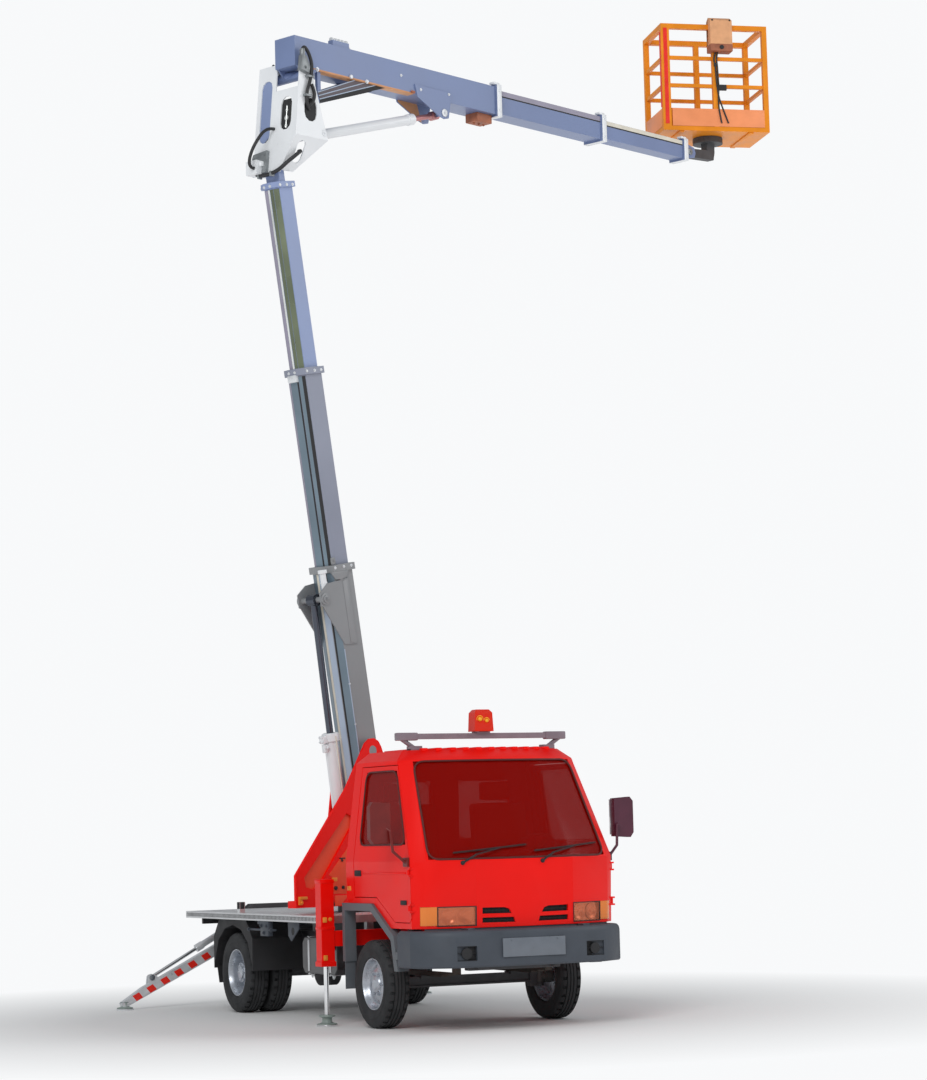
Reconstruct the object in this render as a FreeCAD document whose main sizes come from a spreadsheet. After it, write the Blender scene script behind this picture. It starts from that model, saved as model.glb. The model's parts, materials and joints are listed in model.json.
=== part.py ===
import FreeCAD, Part
import math
import os
import re

# Truck-mounted aerial platform (cherry picker), built at its real size in millimetres.
# The origin lies on the road below the slewing axis. The cab looks along -Y, +X is the truck's left
# side and +Z is up. The model shows the machine parked on its four legs with the boom raised.

Vector = FreeCAD.Vector
Rotation = FreeCAD.Rotation
Placement = FreeCAD.Placement
X_AXIS, Y_AXIS, Z_AXIS = Vector(1, 0, 0), Vector(0, 1, 0), Vector(0, 0, 1)

# ---------------------------------------------------------------- driving sizes
# Each row is: name, value (millimetres or degrees), what it is.
SIZES = (
    ("front_axle_back", 1800, "slewing axis to front axle"),
    ("wheelbase", 2900, "front axle to rear axle"),
    ("tyre_radius", 350, "rolling radius of every tyre"),
    ("tyre_width", 195, "section width of every tyre"),
    ("rim_radius", 208, "radius of the rim's bead seat"),
    ("front_track_half", 763, "centre plane to the middle of a front tyre"),
    ("rear_track_half", 680, "centre plane to the middle of a rear pair"),
    ("twin_pitch", 222, "distance between the two tyres of a rear pair"),
    ("kingpin_half", 640, "centre plane to a kingpin"),
    ("rail_half", 350, "centre plane to a frame rail's outer face"),
    ("rail_width", 60, "flange width of a frame rail"),
    ("rail_height", 160, "height of a frame rail"),
    ("rail_bottom", 545, "underside of the frame rails"),
    ("rail_front", 2620, "slewing axis to the rails' front end"),
    ("rail_rear", 2200, "slewing axis to the rails' rear end"),
    ("cab_half_width", 880, "half width of the cab at the belt line"),
    ("cab_front", 2905, "slewing axis to the cab's front face"),
    ("cab_rear", 1400, "slewing axis to the cab's rear wall"),
    ("cab_floor", 800, "underside of the cab floor"),
    ("cab_hinge_back", 2700, "slewing axis to the cab's tilt axis"),
    ("cab_hinge_height", 560, "height of the cab's tilt axis"),
    ("roof_bar_height", 2300, "height of the bar over the cab roof"),
    ("cab_roof", 2190, "top of the cab roof"),
    ("cab_wall", 42, "thickness of the cab's pressed double walls"),
    ("window_low", 1450, "lower edge of the side windows"),
    ("window_high", 2030, "upper edge of the side windows"),
    ("screen_low", 1330, "lower edge of the windscreen"),
    ("screen_high", 2098, "upper edge of the windscreen"),
    ("glass_thick", 6, "thickness of the window glass"),
    ("door_gap", 6, "shut line round a door"),
    ("door_hinge_x", 889, "centre plane to a door's hinge pins"),
    ("door_hinge_back", 2625, "slewing axis to the doors' hinge pins"),
    ("door_pin_radius", 5, "radius of a door's hinge pins"),
    ("bumper_low", 500, "lower edge of the bumper"),
    ("bumper_high", 785, "upper edge of the bumper"),
    ("bumper_front", 2990, "slewing axis to the bumper's front face"),
    ("deck_top", 880, "height of the platform deck"),
    ("deck_thick", 60, "depth of the deck's edge"),
    ("deck_half", 950, "half width of the deck"),
    ("deck_front", 1080, "slewing axis to the deck's front edge"),
    ("deck_rear", 2150, "slewing axis to the deck's rear edge"),
    ("front_leg_x", 1000, "centre plane to a front leg"),
    ("front_leg_y", 1225, "slewing axis to the front legs"),
    ("leg_tube", 116, "outer width of a front leg housing"),
    ("leg_wall", 8, "wall of a leg housing"),
    ("foot_radius", 85, "radius of a front leg's foot plate"),
    ("rear_leg_y", 2300, "slewing axis to the plane of the rear legs"),
    ("rear_hinge_x", 350, "centre plane to a rear leg's hinge"),
    ("rear_hinge_z", 640, "height of a rear leg's hinge"),
    ("rear_foot_x", 1500, "centre plane to a rear leg's foot"),
    ("rear_leg_depth", 96, "depth of a rear leg's beam"),
    ("rear_leg_width", 70, "width of a rear leg's beam"),
    ("rear_lug_reach", 960, "rear leg's hinge to its cylinder lug, along the beam"),
    ("rear_lug_rise", 85, "height of the cylinder lug over the beam's centre line"),
    ("rear_barrel_x", 200, "centre plane to a rear leg cylinder's hinge"),
    ("rear_barrel_z", 862, "height of a rear leg cylinder's hinge"),
    ("boom_azimuth", 22, "direction of the jib in plan, from the truck's left towards the rear"),
    ("ring_radius", 330, "radius of the slewing ring"),
    ("ring_top", 940, "top of the slewing ring"),
    ("turret_half", 200, "half width of the turret over its side plates"),
    ("turret_plate", 22, "thickness of the turret's side plates"),
    ("pivot_back", 200, "slewing axis to the boom pivot"),
    ("pivot_height", 2250, "height of the boom pivot"),
    ("lift_foot_back", 330, "slewing axis to the lift cylinder's lower pin"),
    ("lift_foot_height", 1120, "height of the lift cylinder's lower pin"),
    ("boom_lean", 9.6, "lean of the raised boom from the vertical"),
    ("boom_depth", 264, "depth of the boom's base section"),
    ("boom_width", 256, "width of the boom's base section"),
    ("boom_step", 36, "loss of depth and width from one boom section to the next"),
    ("boom_wall", 6, "wall of the boom sections"),
    ("boom_fold", 50, "half width of the boom's flat between its two folds"),
    ("boom_foot", 700, "boom base below the pivot"),
    ("boom_head_1", 1585, "pivot to the base section's collar"),
    ("boom_head_2", 3290, "pivot to the middle section's collar"),
    ("boom_head_3", 4900, "pivot to the top section's collar"),
    ("boom_tail_2", 1050, "pivot to the middle section's hidden tail"),
    ("boom_tail_3", 2750, "pivot to the top section's hidden tail"),
    ("level_pin_gap", 160, "top section's head to the elbow's levelling pin"),
    ("lift_pin_out", 258, "boom centre line to the lift cylinder's upper pin"),
    ("lift_pin_up", 1352, "pivot to the lift cylinder's upper pin"),
    ("elbow_near", 300, "elbow centre line to the plate beside the jib"),
    ("elbow_foot", 132, "elbow centre line to the near plate's lower end"),
    ("elbow_far", 190, "elbow centre line to the plate away from the jib"),
    ("elbow_plate", 12, "thickness of the elbow's plates"),
    ("elbow_top", 905, "levelling pin to the elbow's top"),
    ("jib_offset", 150, "boom plane to the jib's centre line"),
    ("jib_pin_out", 150, "levelling pin to the jib pin, forwards"),
    ("jib_pin_up", 800, "levelling pin to the jib pin, upwards"),
    ("jib_rise", 180, "jib pin to the jib's centre line"),
    ("jib_depth", 260, "depth of the jib's base section"),
    ("jib_width", 240, "width of the jib's base section"),
    ("jib_step", 42, "loss of depth and width from one jib section to the next"),
    ("jib_wall", 6, "wall of the jib sections"),
    ("jib_rear", 130, "jib base behind its pin"),
    ("jib_head_1", 2464, "jib pin to the base section's collar"),
    ("jib_head_2", 4004, "jib pin to the middle section's collar"),
    ("jib_head_3", 5304, "jib pin to the tip section's head"),
    ("jib_tail_2", 1900, "jib pin to the middle section's hidden tail"),
    ("jib_tail_3", 3500, "jib pin to the tip section's hidden tail"),
    ("jib_foot_out", 320, "levelling pin to the jib cylinder's rear pin, forwards"),
    ("jib_foot_up", 300, "levelling pin to the jib cylinder's rear pin, upwards"),
    ("jib_eye_out", 1724, "jib pin to the jib cylinder's front pin, forwards"),
    ("jib_eye_down", 60, "jib pin down to the jib cylinder's front pin"),
    ("lift_barrel_radius", 60, "radius of the lift cylinder's barrel"),
    ("lift_barrel_length", 1293, "lower pin to the lift cylinder's gland"),
    ("lift_rod_radius", 30, "radius of the lift cylinder's rod"),
    ("jib_barrel_radius", 45, "radius of the jib cylinder's barrel"),
    ("jib_barrel_length", 1320, "rear pin to the jib cylinder's gland"),
    ("jib_rod_radius", 24, "radius of the jib cylinder's rod"),
    ("basket_pin_gap", 156, "tip section's head to the basket's levelling pin"),
    ("swivel_out", 334, "basket levelling pin to the basket's swivel axis"),
    ("basket_floor", 381, "jib pin up to the underside of the basket floor"),
    ("basket_length", 1100, "length of the basket"),
    ("basket_width", 660, "width of the basket"),
    ("basket_height", 1080, "underside of the floor to the top of the rail"),
    ("basket_yaw", -35.6, "turn of the basket from the jib"),
    ("basket_tube", 50, "width of the basket's tubes"),
    ("pin_gap", 0.3, "clearance round every hinge pin"),
    ("open_gap", 2, "clearance beside a rod's eye at its open pivot"),
    ("slide_gap", 0.3, "clearance between a section and its wear pads"),
)

document = FreeCAD.newDocument("CherryPicker")
sheet = document.addObject("Spreadsheet::Sheet", "Sizes")
for row, (alias, value, meaning) in enumerate(SIZES, start=1):
    sheet.set("A%d" % row, meaning)
    sheet.set("B%d" % row, str(value))
    sheet.setAlias("B%d" % row, alias)
document.recompute()


class SheetSizes:
    """Reads a named size back from the spreadsheet."""

    def __getattr__(self, alias):
        return float(sheet.get(alias))


size = SheetSizes()
ALIASES = sorted((alias for alias, _, _ in SIZES), key=len, reverse=True)
ALIAS_PATTERN = re.compile(r"\b(%s)\b" % "|".join(ALIASES))


def bind(item, prop, expression):
    """Ties a property to the sheet, or sets it when it is a plain number."""
    if isinstance(expression, str):
        item.setExpression(prop, ALIAS_PATTERN.sub(r"Sizes.\1", expression))
    else:
        setattr(item, prop, expression)


# ---------------------------------------------------------------- building blocks
def box(name, low, lengths):
    """A block from its low corner and its three lengths, each a number or an expression."""
    item = document.addObject("Part::Box", name)
    for prop, length in zip(("Length", "Width", "Height"), lengths):
        bind(item, prop, length)
    item.Placement = Placement(Vector(*[0 if isinstance(a, str) else a for a in low]), Rotation())
    for axis, place in zip("xyz", low):
        if isinstance(place, str):
            bind(item, "Placement.Base." + axis, place)
    return item


def rod(name, radius, start, direction, length):
    """A round bar that starts at a point and runs along a direction."""
    item = document.addObject("Part::Cylinder", name)
    bind(item, "Radius", radius)
    bind(item, "Height", length)
    item.Placement = Placement(Vector(*start), Rotation(Z_AXIS, Vector(*direction)))
    return item


PLANE_ROLE = {"XY": "XY_Plane", "XZ": "XZ_Plane", "YZ": "YZ_Plane"}


def sketch_on(body, plane, offset, outline, holes=()):
    """Draws a closed outline, and any holes, on one of the body's own origin planes.

    An outline is a list of points. A hole is either such a list or (centre, radius).
    """
    sketch = body.newObject("Sketcher::SketchObject", body.Name + "Sketch")
    role = PLANE_ROLE[plane]
    sketch.AttachmentSupport = [(f, "") for f in body.Origin.OriginFeatures if f.Role == role][0]
    sketch.MapMode = "FlatFace"
    sketch.AttachmentOffset = Placement(Vector(0, 0, offset), Rotation())
    for loop in (outline,) + tuple(holes):
        if isinstance(loop[1], (int, float)):
            centre, radius = loop
            sketch.addGeometry(Part.Circle(Vector(centre[0], centre[1], 0), Z_AXIS, radius), False)
            continue
        corners = [Vector(a, b, 0) for a, b in loop]
        for first, second in zip(corners, corners[1:] + corners[:1]):
            sketch.addGeometry(Part.LineSegment(first, second), False)
    return sketch


def plate(name, plane, offset, thickness, outline, holes=()):
    """A PartDesign body: one padded outline. The pad runs along the plane's normal from the offset.

    The sketch axes are X, Y on the XY plane, X, Z on the XZ plane and Y, Z on the YZ plane. The
    normal of the XZ plane points along -Y.
    """
    body = document.addObject("PartDesign::Body", name)
    sketch = sketch_on(body, plane, offset, outline, holes)
    pad = body.newObject("PartDesign::Pad", name + "Pad")
    pad.Profile = sketch
    bind(pad, "Length", thickness)
    body.Tip = pad
    return body


def turned(name, outline):
    """A PartDesign body turned about the Z axis, from an outline of (radius, height) points."""
    body = document.addObject("PartDesign::Body", name)
    sketch = sketch_on(body, "XZ", 0, outline)
    revolution = body.newObject("PartDesign::Revolution", name + "Turn")
    revolution.Profile = sketch
    revolution.ReferenceAxis = (sketch, ["V_Axis"])
    revolution.Angle = 360
    body.Tip = revolution
    return body


def fuse(name, pieces):
    item = document.addObject("Part::MultiFuse", name)
    item.Shapes = pieces
    return item


def group(name, pieces):
    """Several solids that don't touch, kept as one sub-part."""
    item = document.addObject("Part::Compound", name)
    item.Links = pieces
    return item


def cut(name, base, tools):
    tool = tools[0] if len(tools) == 1 else fuse(name + "Tools", tools)
    item = document.addObject("Part::Cut", name)
    item.Base = base
    item.Tool = tool
    return item


def common(name, pieces):
    item = document.addObject("Part::MultiCommon", name)
    item.Shapes = pieces
    return item


def mirrored(name, source):
    """The same piece on the truck's other side."""
    item = document.addObject("Part::Mirroring", name)
    item.Source = source
    item.Normal = X_AXIS
    item.Base = Vector(0, 0, 0)
    return item


def moved(name, source, placement):
    """A copy of a shape in a new place, which follows its source."""
    item = document.addObject("Part::Compound", name)
    item.Links = [source]
    item.Placement = placement
    return item


def inset(outline, distance):
    """An outline moved inwards by a distance. The points run anticlockwise."""
    count, result = len(outline), []
    for index in range(count):
        lines = []
        for a, b in ((outline[index - 1], outline[index]),
                     (outline[index], outline[(index + 1) % count])):
            length = math.hypot(b[0] - a[0], b[1] - a[1])
            normal = (-(b[1] - a[1]) / length, (b[0] - a[0]) / length)
            lines.append((normal, normal[0] * a[0] + normal[1] * a[1] + distance))
        (n, c), (m, d) = lines
        across = n[0] * m[1] - n[1] * m[0]
        if abs(across) < 1e-6:
            result.append((outline[index][0] + n[0] * distance,
                           outline[index][1] + n[1] * distance))
        else:
            result.append(((c * m[1] - d * n[1]) / across, (n[0] * d - m[0] * c) / across))
    return result


def lofted(name, sections):
    """A solid with flat sides through level outlines, each given as (height, outline)."""
    wires = []
    for number, (height, outline) in enumerate(sections):
        wire = document.addObject("Part::Polygon", "%sSection%d" % (name, number))
        wire.Nodes = [Vector(a, b, height) for a, b in outline]
        wire.Close = True
        wires.append(wire)
    item = document.addObject("Part::Loft", name)
    item.Sections = wires
    item.Solid = True
    item.Ruled = True
    return item


def oval(centre, width, height, steps=5):
    """A closed outline with straight sides and round ends, taller than wide."""
    radius, straight = width / 2, (height - width) / 2
    points = []
    for end in (1, -1):
        for step in range(steps + 1):
            angle = math.pi * step / steps + (0 if end > 0 else math.pi)
            points.append((centre[0] + radius * math.cos(angle),
                           centre[1] + end * straight + radius * math.sin(angle)))
    return points


def hose(name, radius, points):
    """A flexible line as straight runs with a ball at every bend."""
    pieces = []
    for number, (a, b) in enumerate(zip(points, points[1:])):
        way = [q - p for p, q in zip(a, b)]
        pieces.append(rod("%sRun%d" % (name, number), radius, a, way,
                          math.sqrt(sum(w * w for w in way))))
        if number:
            ball = document.addObject("Part::Sphere", "%sBend%d" % (name, number))
            ball.Radius = radius
            ball.Placement = Placement(Vector(*a), Rotation())
            pieces.append(ball)
    return fuse(name, pieces)


SUBPARTS = {}


def keep(node, item):
    """Registers a finished sub-part under the name of its file."""
    item.Label = node
    SUBPARTS[node] = item
    return item


# ---------------------------------------------------------------- frames of the upper works
LEVEL_PIN = size.boom_head_3 + size.level_pin_gap
BASKET_PIN = size.jib_head_3 + size.basket_pin_gap
TURN = Rotation(Z_AXIS, size.boom_azimuth)
SLEW = Placement(Vector(0, 0, 0), TURN)
LEAN = Rotation(Y_AXIS, -size.boom_lean)
BOOM = SLEW.multiply(Placement(Vector(-size.pivot_back, 0, size.pivot_height), LEAN))
ELBOW = Placement(BOOM.multVec(Vector(0, 0, LEVEL_PIN)), TURN)
JIB = Placement(ELBOW.multVec(Vector(size.jib_pin_out, -size.jib_offset, size.jib_pin_up)), TURN)
FRONT_AXLE_Y = -size.front_axle_back
# Widths of a cylinder's two eyes: (barrel's eye, rod's eye).
LIFT_EYES = (180, 90)
JIB_EYES = (100, 80)
LEG_EYES = (54, 30)
REAR_AXLE_Y = size.wheelbase - size.front_axle_back

# ---------------------------------------------------------------- chassis
def chassis_frame():
    """Two channel rails, their cross-members, the slewing ring's pedestal and the rear leg frame."""
    rail_top = size.rail_bottom + size.rail_height
    length = "rail_front + rail_rear"
    pieces = []
    for side, low in (("Left", "rail_half - rail_width"), ("Right", "-rail_half")):
        outer = box("Rail" + side, (low, "-rail_front", "rail_bottom"),
                    ("rail_width", length, "rail_height"))
        hollow_low = "rail_half - rail_width - 8" if side == "Left" else "-rail_half + 8"
        hollow = box("RailHollow" + side, (hollow_low, "-rail_front - 1", "rail_bottom + 8"),
                     ("rail_width", length + " + 2", "rail_height - 16"))
        pieces.append(cut("Channel" + side, outer, [hollow]))
    for number, place in enumerate((-2530, -960, -480, 480, 1560, 2130)):
        pieces.append(box("CrossMember%d" % number,
                          ("-rail_half + 8", place - 30, "rail_bottom + rail_height - 60"),
                          ("2 * rail_half - 16", 60, 52)))
    deck_low = size.deck_top - size.deck_thick
    pedestal = box("Pedestal", (-360, -360, rail_top - 1), (720, 720, deck_low - rail_top + 1))
    well = rod("PedestalWell", "ring_radius - 60", (0, 0, rail_top - 20), (0, 0, 1), 105)
    pieces.append(cut("PedestalBox", pedestal, [well]))
    pieces.append(rod("SlewRing", "ring_radius", (0, 0, deck_low - 10), (0, 0, 1),
                      size.ring_top - deck_low + 10))
    pieces.append(rod("TiltTube", 22, (-size.rail_half, -size.cab_hinge_back,
                                       size.cab_hinge_height), (1, 0, 0), "2 * rail_half"))
    for side in (1, -1):
        x = side * size.rail_half - (30 if side > 0 else 0)
        pieces.append(box("TiltHorn%d" % side, (x, -size.cab_hinge_back - 40, "rail_bottom - 25"),
                          (30, 140, 90)))
        pieces.append(box("CabRest%d" % side, (side * 300 - 40, -1480, rail_top - 1),
                          (80, 90, 990 - rail_top - 6)))
    return keep("chassis_frame", fuse("ChassisFrame", pieces))


def rear_leg_frame():
    """Two upright plates behind the deck that carry the rear legs' hinges, on the rails' ends."""
    half, low = 470, size.rail_bottom
    gap = size.rear_leg_width / 2 + 12
    outline = [(-half, low + 40), (-half + 60, low), (half - 60, low), (half, low + 40),
               (half, 760), (260, 920), (-260, 920), (-half, 760)]
    bolt_holes = [((x, z), 8.5) for x in (-80, 80) for z in (600, 700)]
    pieces = [plate("LegPlateInner", "XZ", -size.rear_leg_y + gap, 14, outline),
              plate("LegPlateOuter", "XZ", -size.rear_leg_y - gap - 14, 14, outline, bolt_holes)]
    for side in (1, -1):
        pieces.append(rod("LegHinge%d" % side, 22, (side * size.rear_hinge_x,
                          size.rear_leg_y - gap - 10, size.rear_hinge_z), (0, 1, 0), 2 * gap + 20))
        pieces.append(rod("BarrelHinge%d" % side, 14, (side * size.rear_barrel_x,
                          size.rear_leg_y - gap - 10, size.rear_barrel_z), (0, 1, 0), 2 * gap + 20))
        pieces.append(box("RailTie%d" % side, (side * (size.rail_half - 30) - 25, "rail_rear",
                                              low + 20),
                          (50, size.rear_leg_y - gap - 7 - size.rail_rear, 110)))
    pieces.append(box("LegStop", (-90, size.rear_leg_y - gap - 5, low + 5), (180, 2 * gap + 10, 40)))
    return keep("rear_leg_frame", fuse("RearLegFrame", pieces))


def front_leg_frame():
    """A cross beam behind the cab with an upright square housing at each end."""
    rail_top = size.rail_bottom + size.rail_height
    beam = box("LegBeam", ("-front_leg_x", -size.front_leg_y - 50, rail_top),
               ("2 * front_leg_x", 100, 60))
    bore = size.leg_tube / 2 - size.leg_wall
    pieces, bores = [beam], []
    for side in (1, -1):
        x = side * size.front_leg_x
        arm = size.front_leg_x - size.rail_half
        pieces.append(box("LegBeamArm%d" % side, (size.rail_half if side > 0 else -size.front_leg_x,
                          -size.front_leg_y - 50, rail_top - 65), (arm, 100, 70)))
        pieces.append(box("LegHousing%d" % side, (x - size.leg_tube / 2,
                          -size.front_leg_y - size.leg_tube / 2, 480),
                          ("leg_tube", "leg_tube", 700)))
        pieces.append(box("LegCollar%d" % side, (x - size.leg_tube / 2 - 8,
                          -size.front_leg_y - size.leg_tube / 2 - 8, 480),
                          ("leg_tube + 16", "leg_tube + 16", 40)))
        bores.append(box("LegBore%d" % side, (x - bore, -size.front_leg_y - bore, 470),
                         (2 * bore, 2 * bore, 690)))
    return keep("front_leg_frame", cut("FrontLegFrame", fuse("LegFrameSolid", pieces), bores))


def front_leg(node, side):
    """The inner tube, chrome rod and foot of a front leg."""
    x, y = side * size.front_leg_x, -size.front_leg_y
    inner = size.leg_tube / 2 - size.leg_wall - size.slide_gap
    outline = [(0, 0), (size.foot_radius, 0), (size.foot_radius, 14), (62, 26), (34, 34),
               (30, 74), (0, 74)]
    foot = turned("Foot" + node, outline)
    foot.Placement = Placement(Vector(x, y, 0), Rotation())
    pieces = [foot, rod("Rod" + node, 20, (x, y, 60), (0, 0, 1), 460),
              box("Guide" + node, (x - inner, y - inner, 520), (2 * inner, 2 * inner, 200))]
    return keep(node, fuse("Leg" + node, pieces))


def front_axle():
    """An I-section beam between the kingpins, with a fork at each end."""
    y, z = FRONT_AXLE_Y, size.tyre_radius
    eye = size.kingpin_half
    beam = fuse("AxleBeam", [
        box("AxleWeb", (-eye + 60, y - 8, z - 42), (2 * eye - 120, 16, 84)),
        box("AxleTop", (-eye + 60, y - 34, z + 28), (2 * eye - 120, 68, 14)),
        box("AxleLow", (-eye + 60, y - 34, z - 42), (2 * eye - 120, 68, 14))])
    pieces = [beam]
    for side in (1, -1):
        pieces.append(box("SpringSeat%d" % side, (side * 400 - 45, y - 60, z + 30), (90, 120, 22)))
        pieces.append(box("ForkArm%d" % side, (side * (eye - 68) - 30, y - 36, z - 78),
                          (60, 72, 156)))
        for level in (-78, 52):
            pieces.append(rod("ForkEye%d%d" % (side, level + 100), 36,
                              (side * eye, y, z + level), (0, 0, 1), 26))
            pieces.append(box("ForkTie%d%d" % (side, level + 100),
                              (side * (eye - 32) - 32, y - 30, z + level), (64, 60, 26)))
        pieces.append(rod("Kingpin%d" % side, 16, (side * eye, y, z - 84), (0, 0, 1), 168))
    return keep("front_axle", fuse("FrontAxle", pieces))


def rear_axle():
    """A live axle: tubes, a round differential housing and the pads under the springs."""
    y, z = REAR_AXLE_Y, size.tyre_radius
    half = size.rear_track_half - size.twin_pitch / 2 - size.tyre_width / 2 + 20
    pieces = [rod("AxleTube", 52, (-half, y, z), (1, 0, 0), 2 * half),
              rod("Differential", 150, (-75, y, z), (1, 0, 0), 150),
              rod("DifferentialNose", 62, (0, y - 250, z + 20), (0, 1, 0), 200),
              rod("StubRight", 38, (-size.rear_track_half - 60, y, z), (1, 0, 0),
                  2 * size.rear_track_half + 120)]
    for side in (1, -1):
        pieces.append(box("RearSpringSeat%d" % side, (side * 400 - 45, y - 60, z + 40),
                          (90, 120, 40)))
    return keep("rear_axle", fuse("RearAxle", pieces))


def leaf_springs():
    """Two front and two rear packs of leaves, shackled to the rails' outer faces."""
    packs = []
    table = (("Front", FRONT_AXLE_Y, 640, 3, size.tyre_radius + 52),
             ("Rear", REAR_AXLE_Y, 660, 4, size.tyre_radius + 80))
    for name, y, reach, leaves, low in table:      # name, middle, half length, leaves, seat
        for side in (1, -1):
            pieces = []
            for leaf in range(leaves):
                span = reach * (1 - 0.19 * (leaves - 1 - leaf))
                pieces.append(box("Leaf%s%d%d" % (name, side, leaf),
                                  (side * 400 - 30, y - span, low + leaf * 12), (60, 2 * span, 12)))
            top = low + leaves * 12
            for end in (-1, 1):
                pieces.append(box("Shackle%s%d%d" % (name, side, end),
                                  (side * 400 - 30, y + end * (reach - 20) - 20, top - 12),
                                  (60, 40, size.rail_bottom + 60 - top)))
                pieces.append(box("ShackleFoot%s%d%d" % (name, side, end),
                                  (side * 385 - 35, y + end * (reach - 20) - 28,
                                   size.rail_bottom + 24), (70, 56, 50)))
            packs.append(fuse("Pack%s%d" % (name, side), pieces))
    return keep("leaf_springs", group("LeafSprings", packs))


def driveline():
    """Engine and gearbox as plain blocks, with the propeller shaft back to the rear axle."""
    low = size.rail_bottom
    engine = box("Engine", (-235, -2420, low - 60), (470, 820, 300))
    gearbox = box("Gearbox", (-150, -1600, low - 20), (300, 560, 170))
    start, end = (0, -1045, low + 60), (0, REAR_AXLE_Y - 250, size.tyre_radius + 20)
    way = [b - a for a, b in zip(start, end)]
    shaft = rod("PropellerShaft", 38, start, way, math.sqrt(sum(w * w for w in way)) - 5)
    mounts = [box("EngineMount%d" % number, ("8 - rail_half", place, low + 40),
                  ("2 * rail_half - 16", 60, 40))
              for number, place in enumerate((-2340, -1700))]
    return keep("driveline", fuse("Driveline", [engine, gearbox, shaft] + mounts))


def fuel_tank():
    """A rounded tank on brackets outside the right-hand rail."""
    width, low, high = 400, 385, 690
    body = plate("TankBody", "YZ", -size.rail_half - 30 - width, width,
                 [(-940, low + 50), (-890, low), (-250, low), (-200, low + 50), (-200, high - 50),
                  (-250, high), (-890, high), (-940, high - 50)])
    brackets = [box("TankBracket%d" % number, (-size.rail_half - 40, place, size.rail_bottom + 10),
                    (40, 60, 110)) for number, place in enumerate((-880, -330))]
    return keep("fuel_tank", fuse("FuelTank", [body] + brackets))


def rear_mudguards():
    """A boxy plastic guard over each rear pair, open towards the road, under the deck."""
    reach, height = 470, size.deck_top - size.deck_thick - 4
    wall = 6
    arc = [(REAR_AXLE_Y + reach * math.cos(math.radians(a)) * 0.98,
            size.tyre_radius + 20 + 400 * math.sin(math.radians(a))) for a in (172, 140, 115, 90,
                                                                              65, 40, 8)]
    outer = [(REAR_AXLE_Y - reach, 380), (REAR_AXLE_Y - reach, 660), (REAR_AXLE_Y - 330, height),
             (REAR_AXLE_Y + 330, height), (REAR_AXLE_Y + reach, 660), (REAR_AXLE_Y + reach, 380)]
    guards = []
    for side in (1, -1):
        start = 430 if side > 0 else -905
        name = "Guard%s" % ("Left" if side > 0 else "Right")
        shell = plate(name + "Shell", "YZ", start, 475, outer)
        hollow = plate(name + "Hollow", "YZ", start - 5, 485,
                       [(REAR_AXLE_Y - reach + wall, 300)] + arc + [(REAR_AXLE_Y + reach - wall, 300)])
        tie = box(name + "Tie", (side * (size.rail_half + 45) - 50, REAR_AXLE_Y - 40, height - 70),
                  (100, 80, 60))
        guards.append(fuse(name, [cut(name + "Cut", shell, [hollow]), tie]))
    return keep("rear_mudguards", group("RearMudguards", guards))


def deck():
    """The walk-on platform: a frame with chequer plate over it, cut away round the turret."""
    low = "deck_top - deck_thick"
    slab = box("DeckSlab", ("-deck_half", "-deck_front", low),
               ("2 * deck_half", "deck_front + deck_rear", "deck_thick"))
    well = rod("DeckWell", "ring_radius + 60", (0, 0, 700), (0, 0, 1), 400)
    pieces = [cut("DeckPlate", slab, [well])]
    for number, place in enumerate((-1000, -560, 560, 1400, 2060)):
        for side in (1, -1):
            pieces.append(box("DeckLeg%d%d" % (number, side), (side * 320 - 30, place - 30,
                              size.rail_bottom + size.rail_height),
                              (60, 60, size.deck_top - size.deck_thick - size.rail_bottom
                               - size.rail_height + 1)))
    pieces.append(box("DeckPost", (-948, 800, size.deck_top - 1), (48, 60, 96)))
    return keep("deck", fuse("Deck", pieces))


# ---------------------------------------------------------------- wheels
def tyre_outline():
    """Half section of a tyre: (radius, height along the axle) points with a rounded shoulder."""
    half, top, bead = size.tyre_width / 2, size.tyre_radius, size.rim_radius
    return [(bead, -half * 0.78), (bead + 22, -half * 0.92), ((top + bead) / 2, -half),
            (top - 24, -half * 0.93), (top - 6, -half * 0.76), (top, -half * 0.55),
            (top, half * 0.55), (top - 6, half * 0.76), (top - 24, half * 0.93),
            ((top + bead) / 2, half), (bead + 22, half * 0.92), (bead, half * 0.78)]


def wheel_place(x, y, outward):
    """Lays a part turned about Z along the axle, its +Z face outwards."""
    return Placement(Vector(x, y, size.tyre_radius), Rotation(Z_AXIS, Vector(outward, 0, 0)))


def rim_outline(dish, hub):
    """Half section of a pressed steel rim whose disc stands at a height, with a hub."""
    half, bead = size.tyre_width / 2, size.rim_radius - size.slide_gap
    return [(0, dish - 22), (hub, dish - 22), (hub, dish), (bead - 40, dish + 10),
            (bead - 20, -half * 0.8), (bead, -half * 0.8), (bead, half * 0.8),
            (bead - 14, half * 0.8), (bead - 24, dish + 26), (hub + 40, dish + 30),
            (hub, dish + 52), (hub - 30, dish + 58), (0, dish + 58)]


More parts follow.
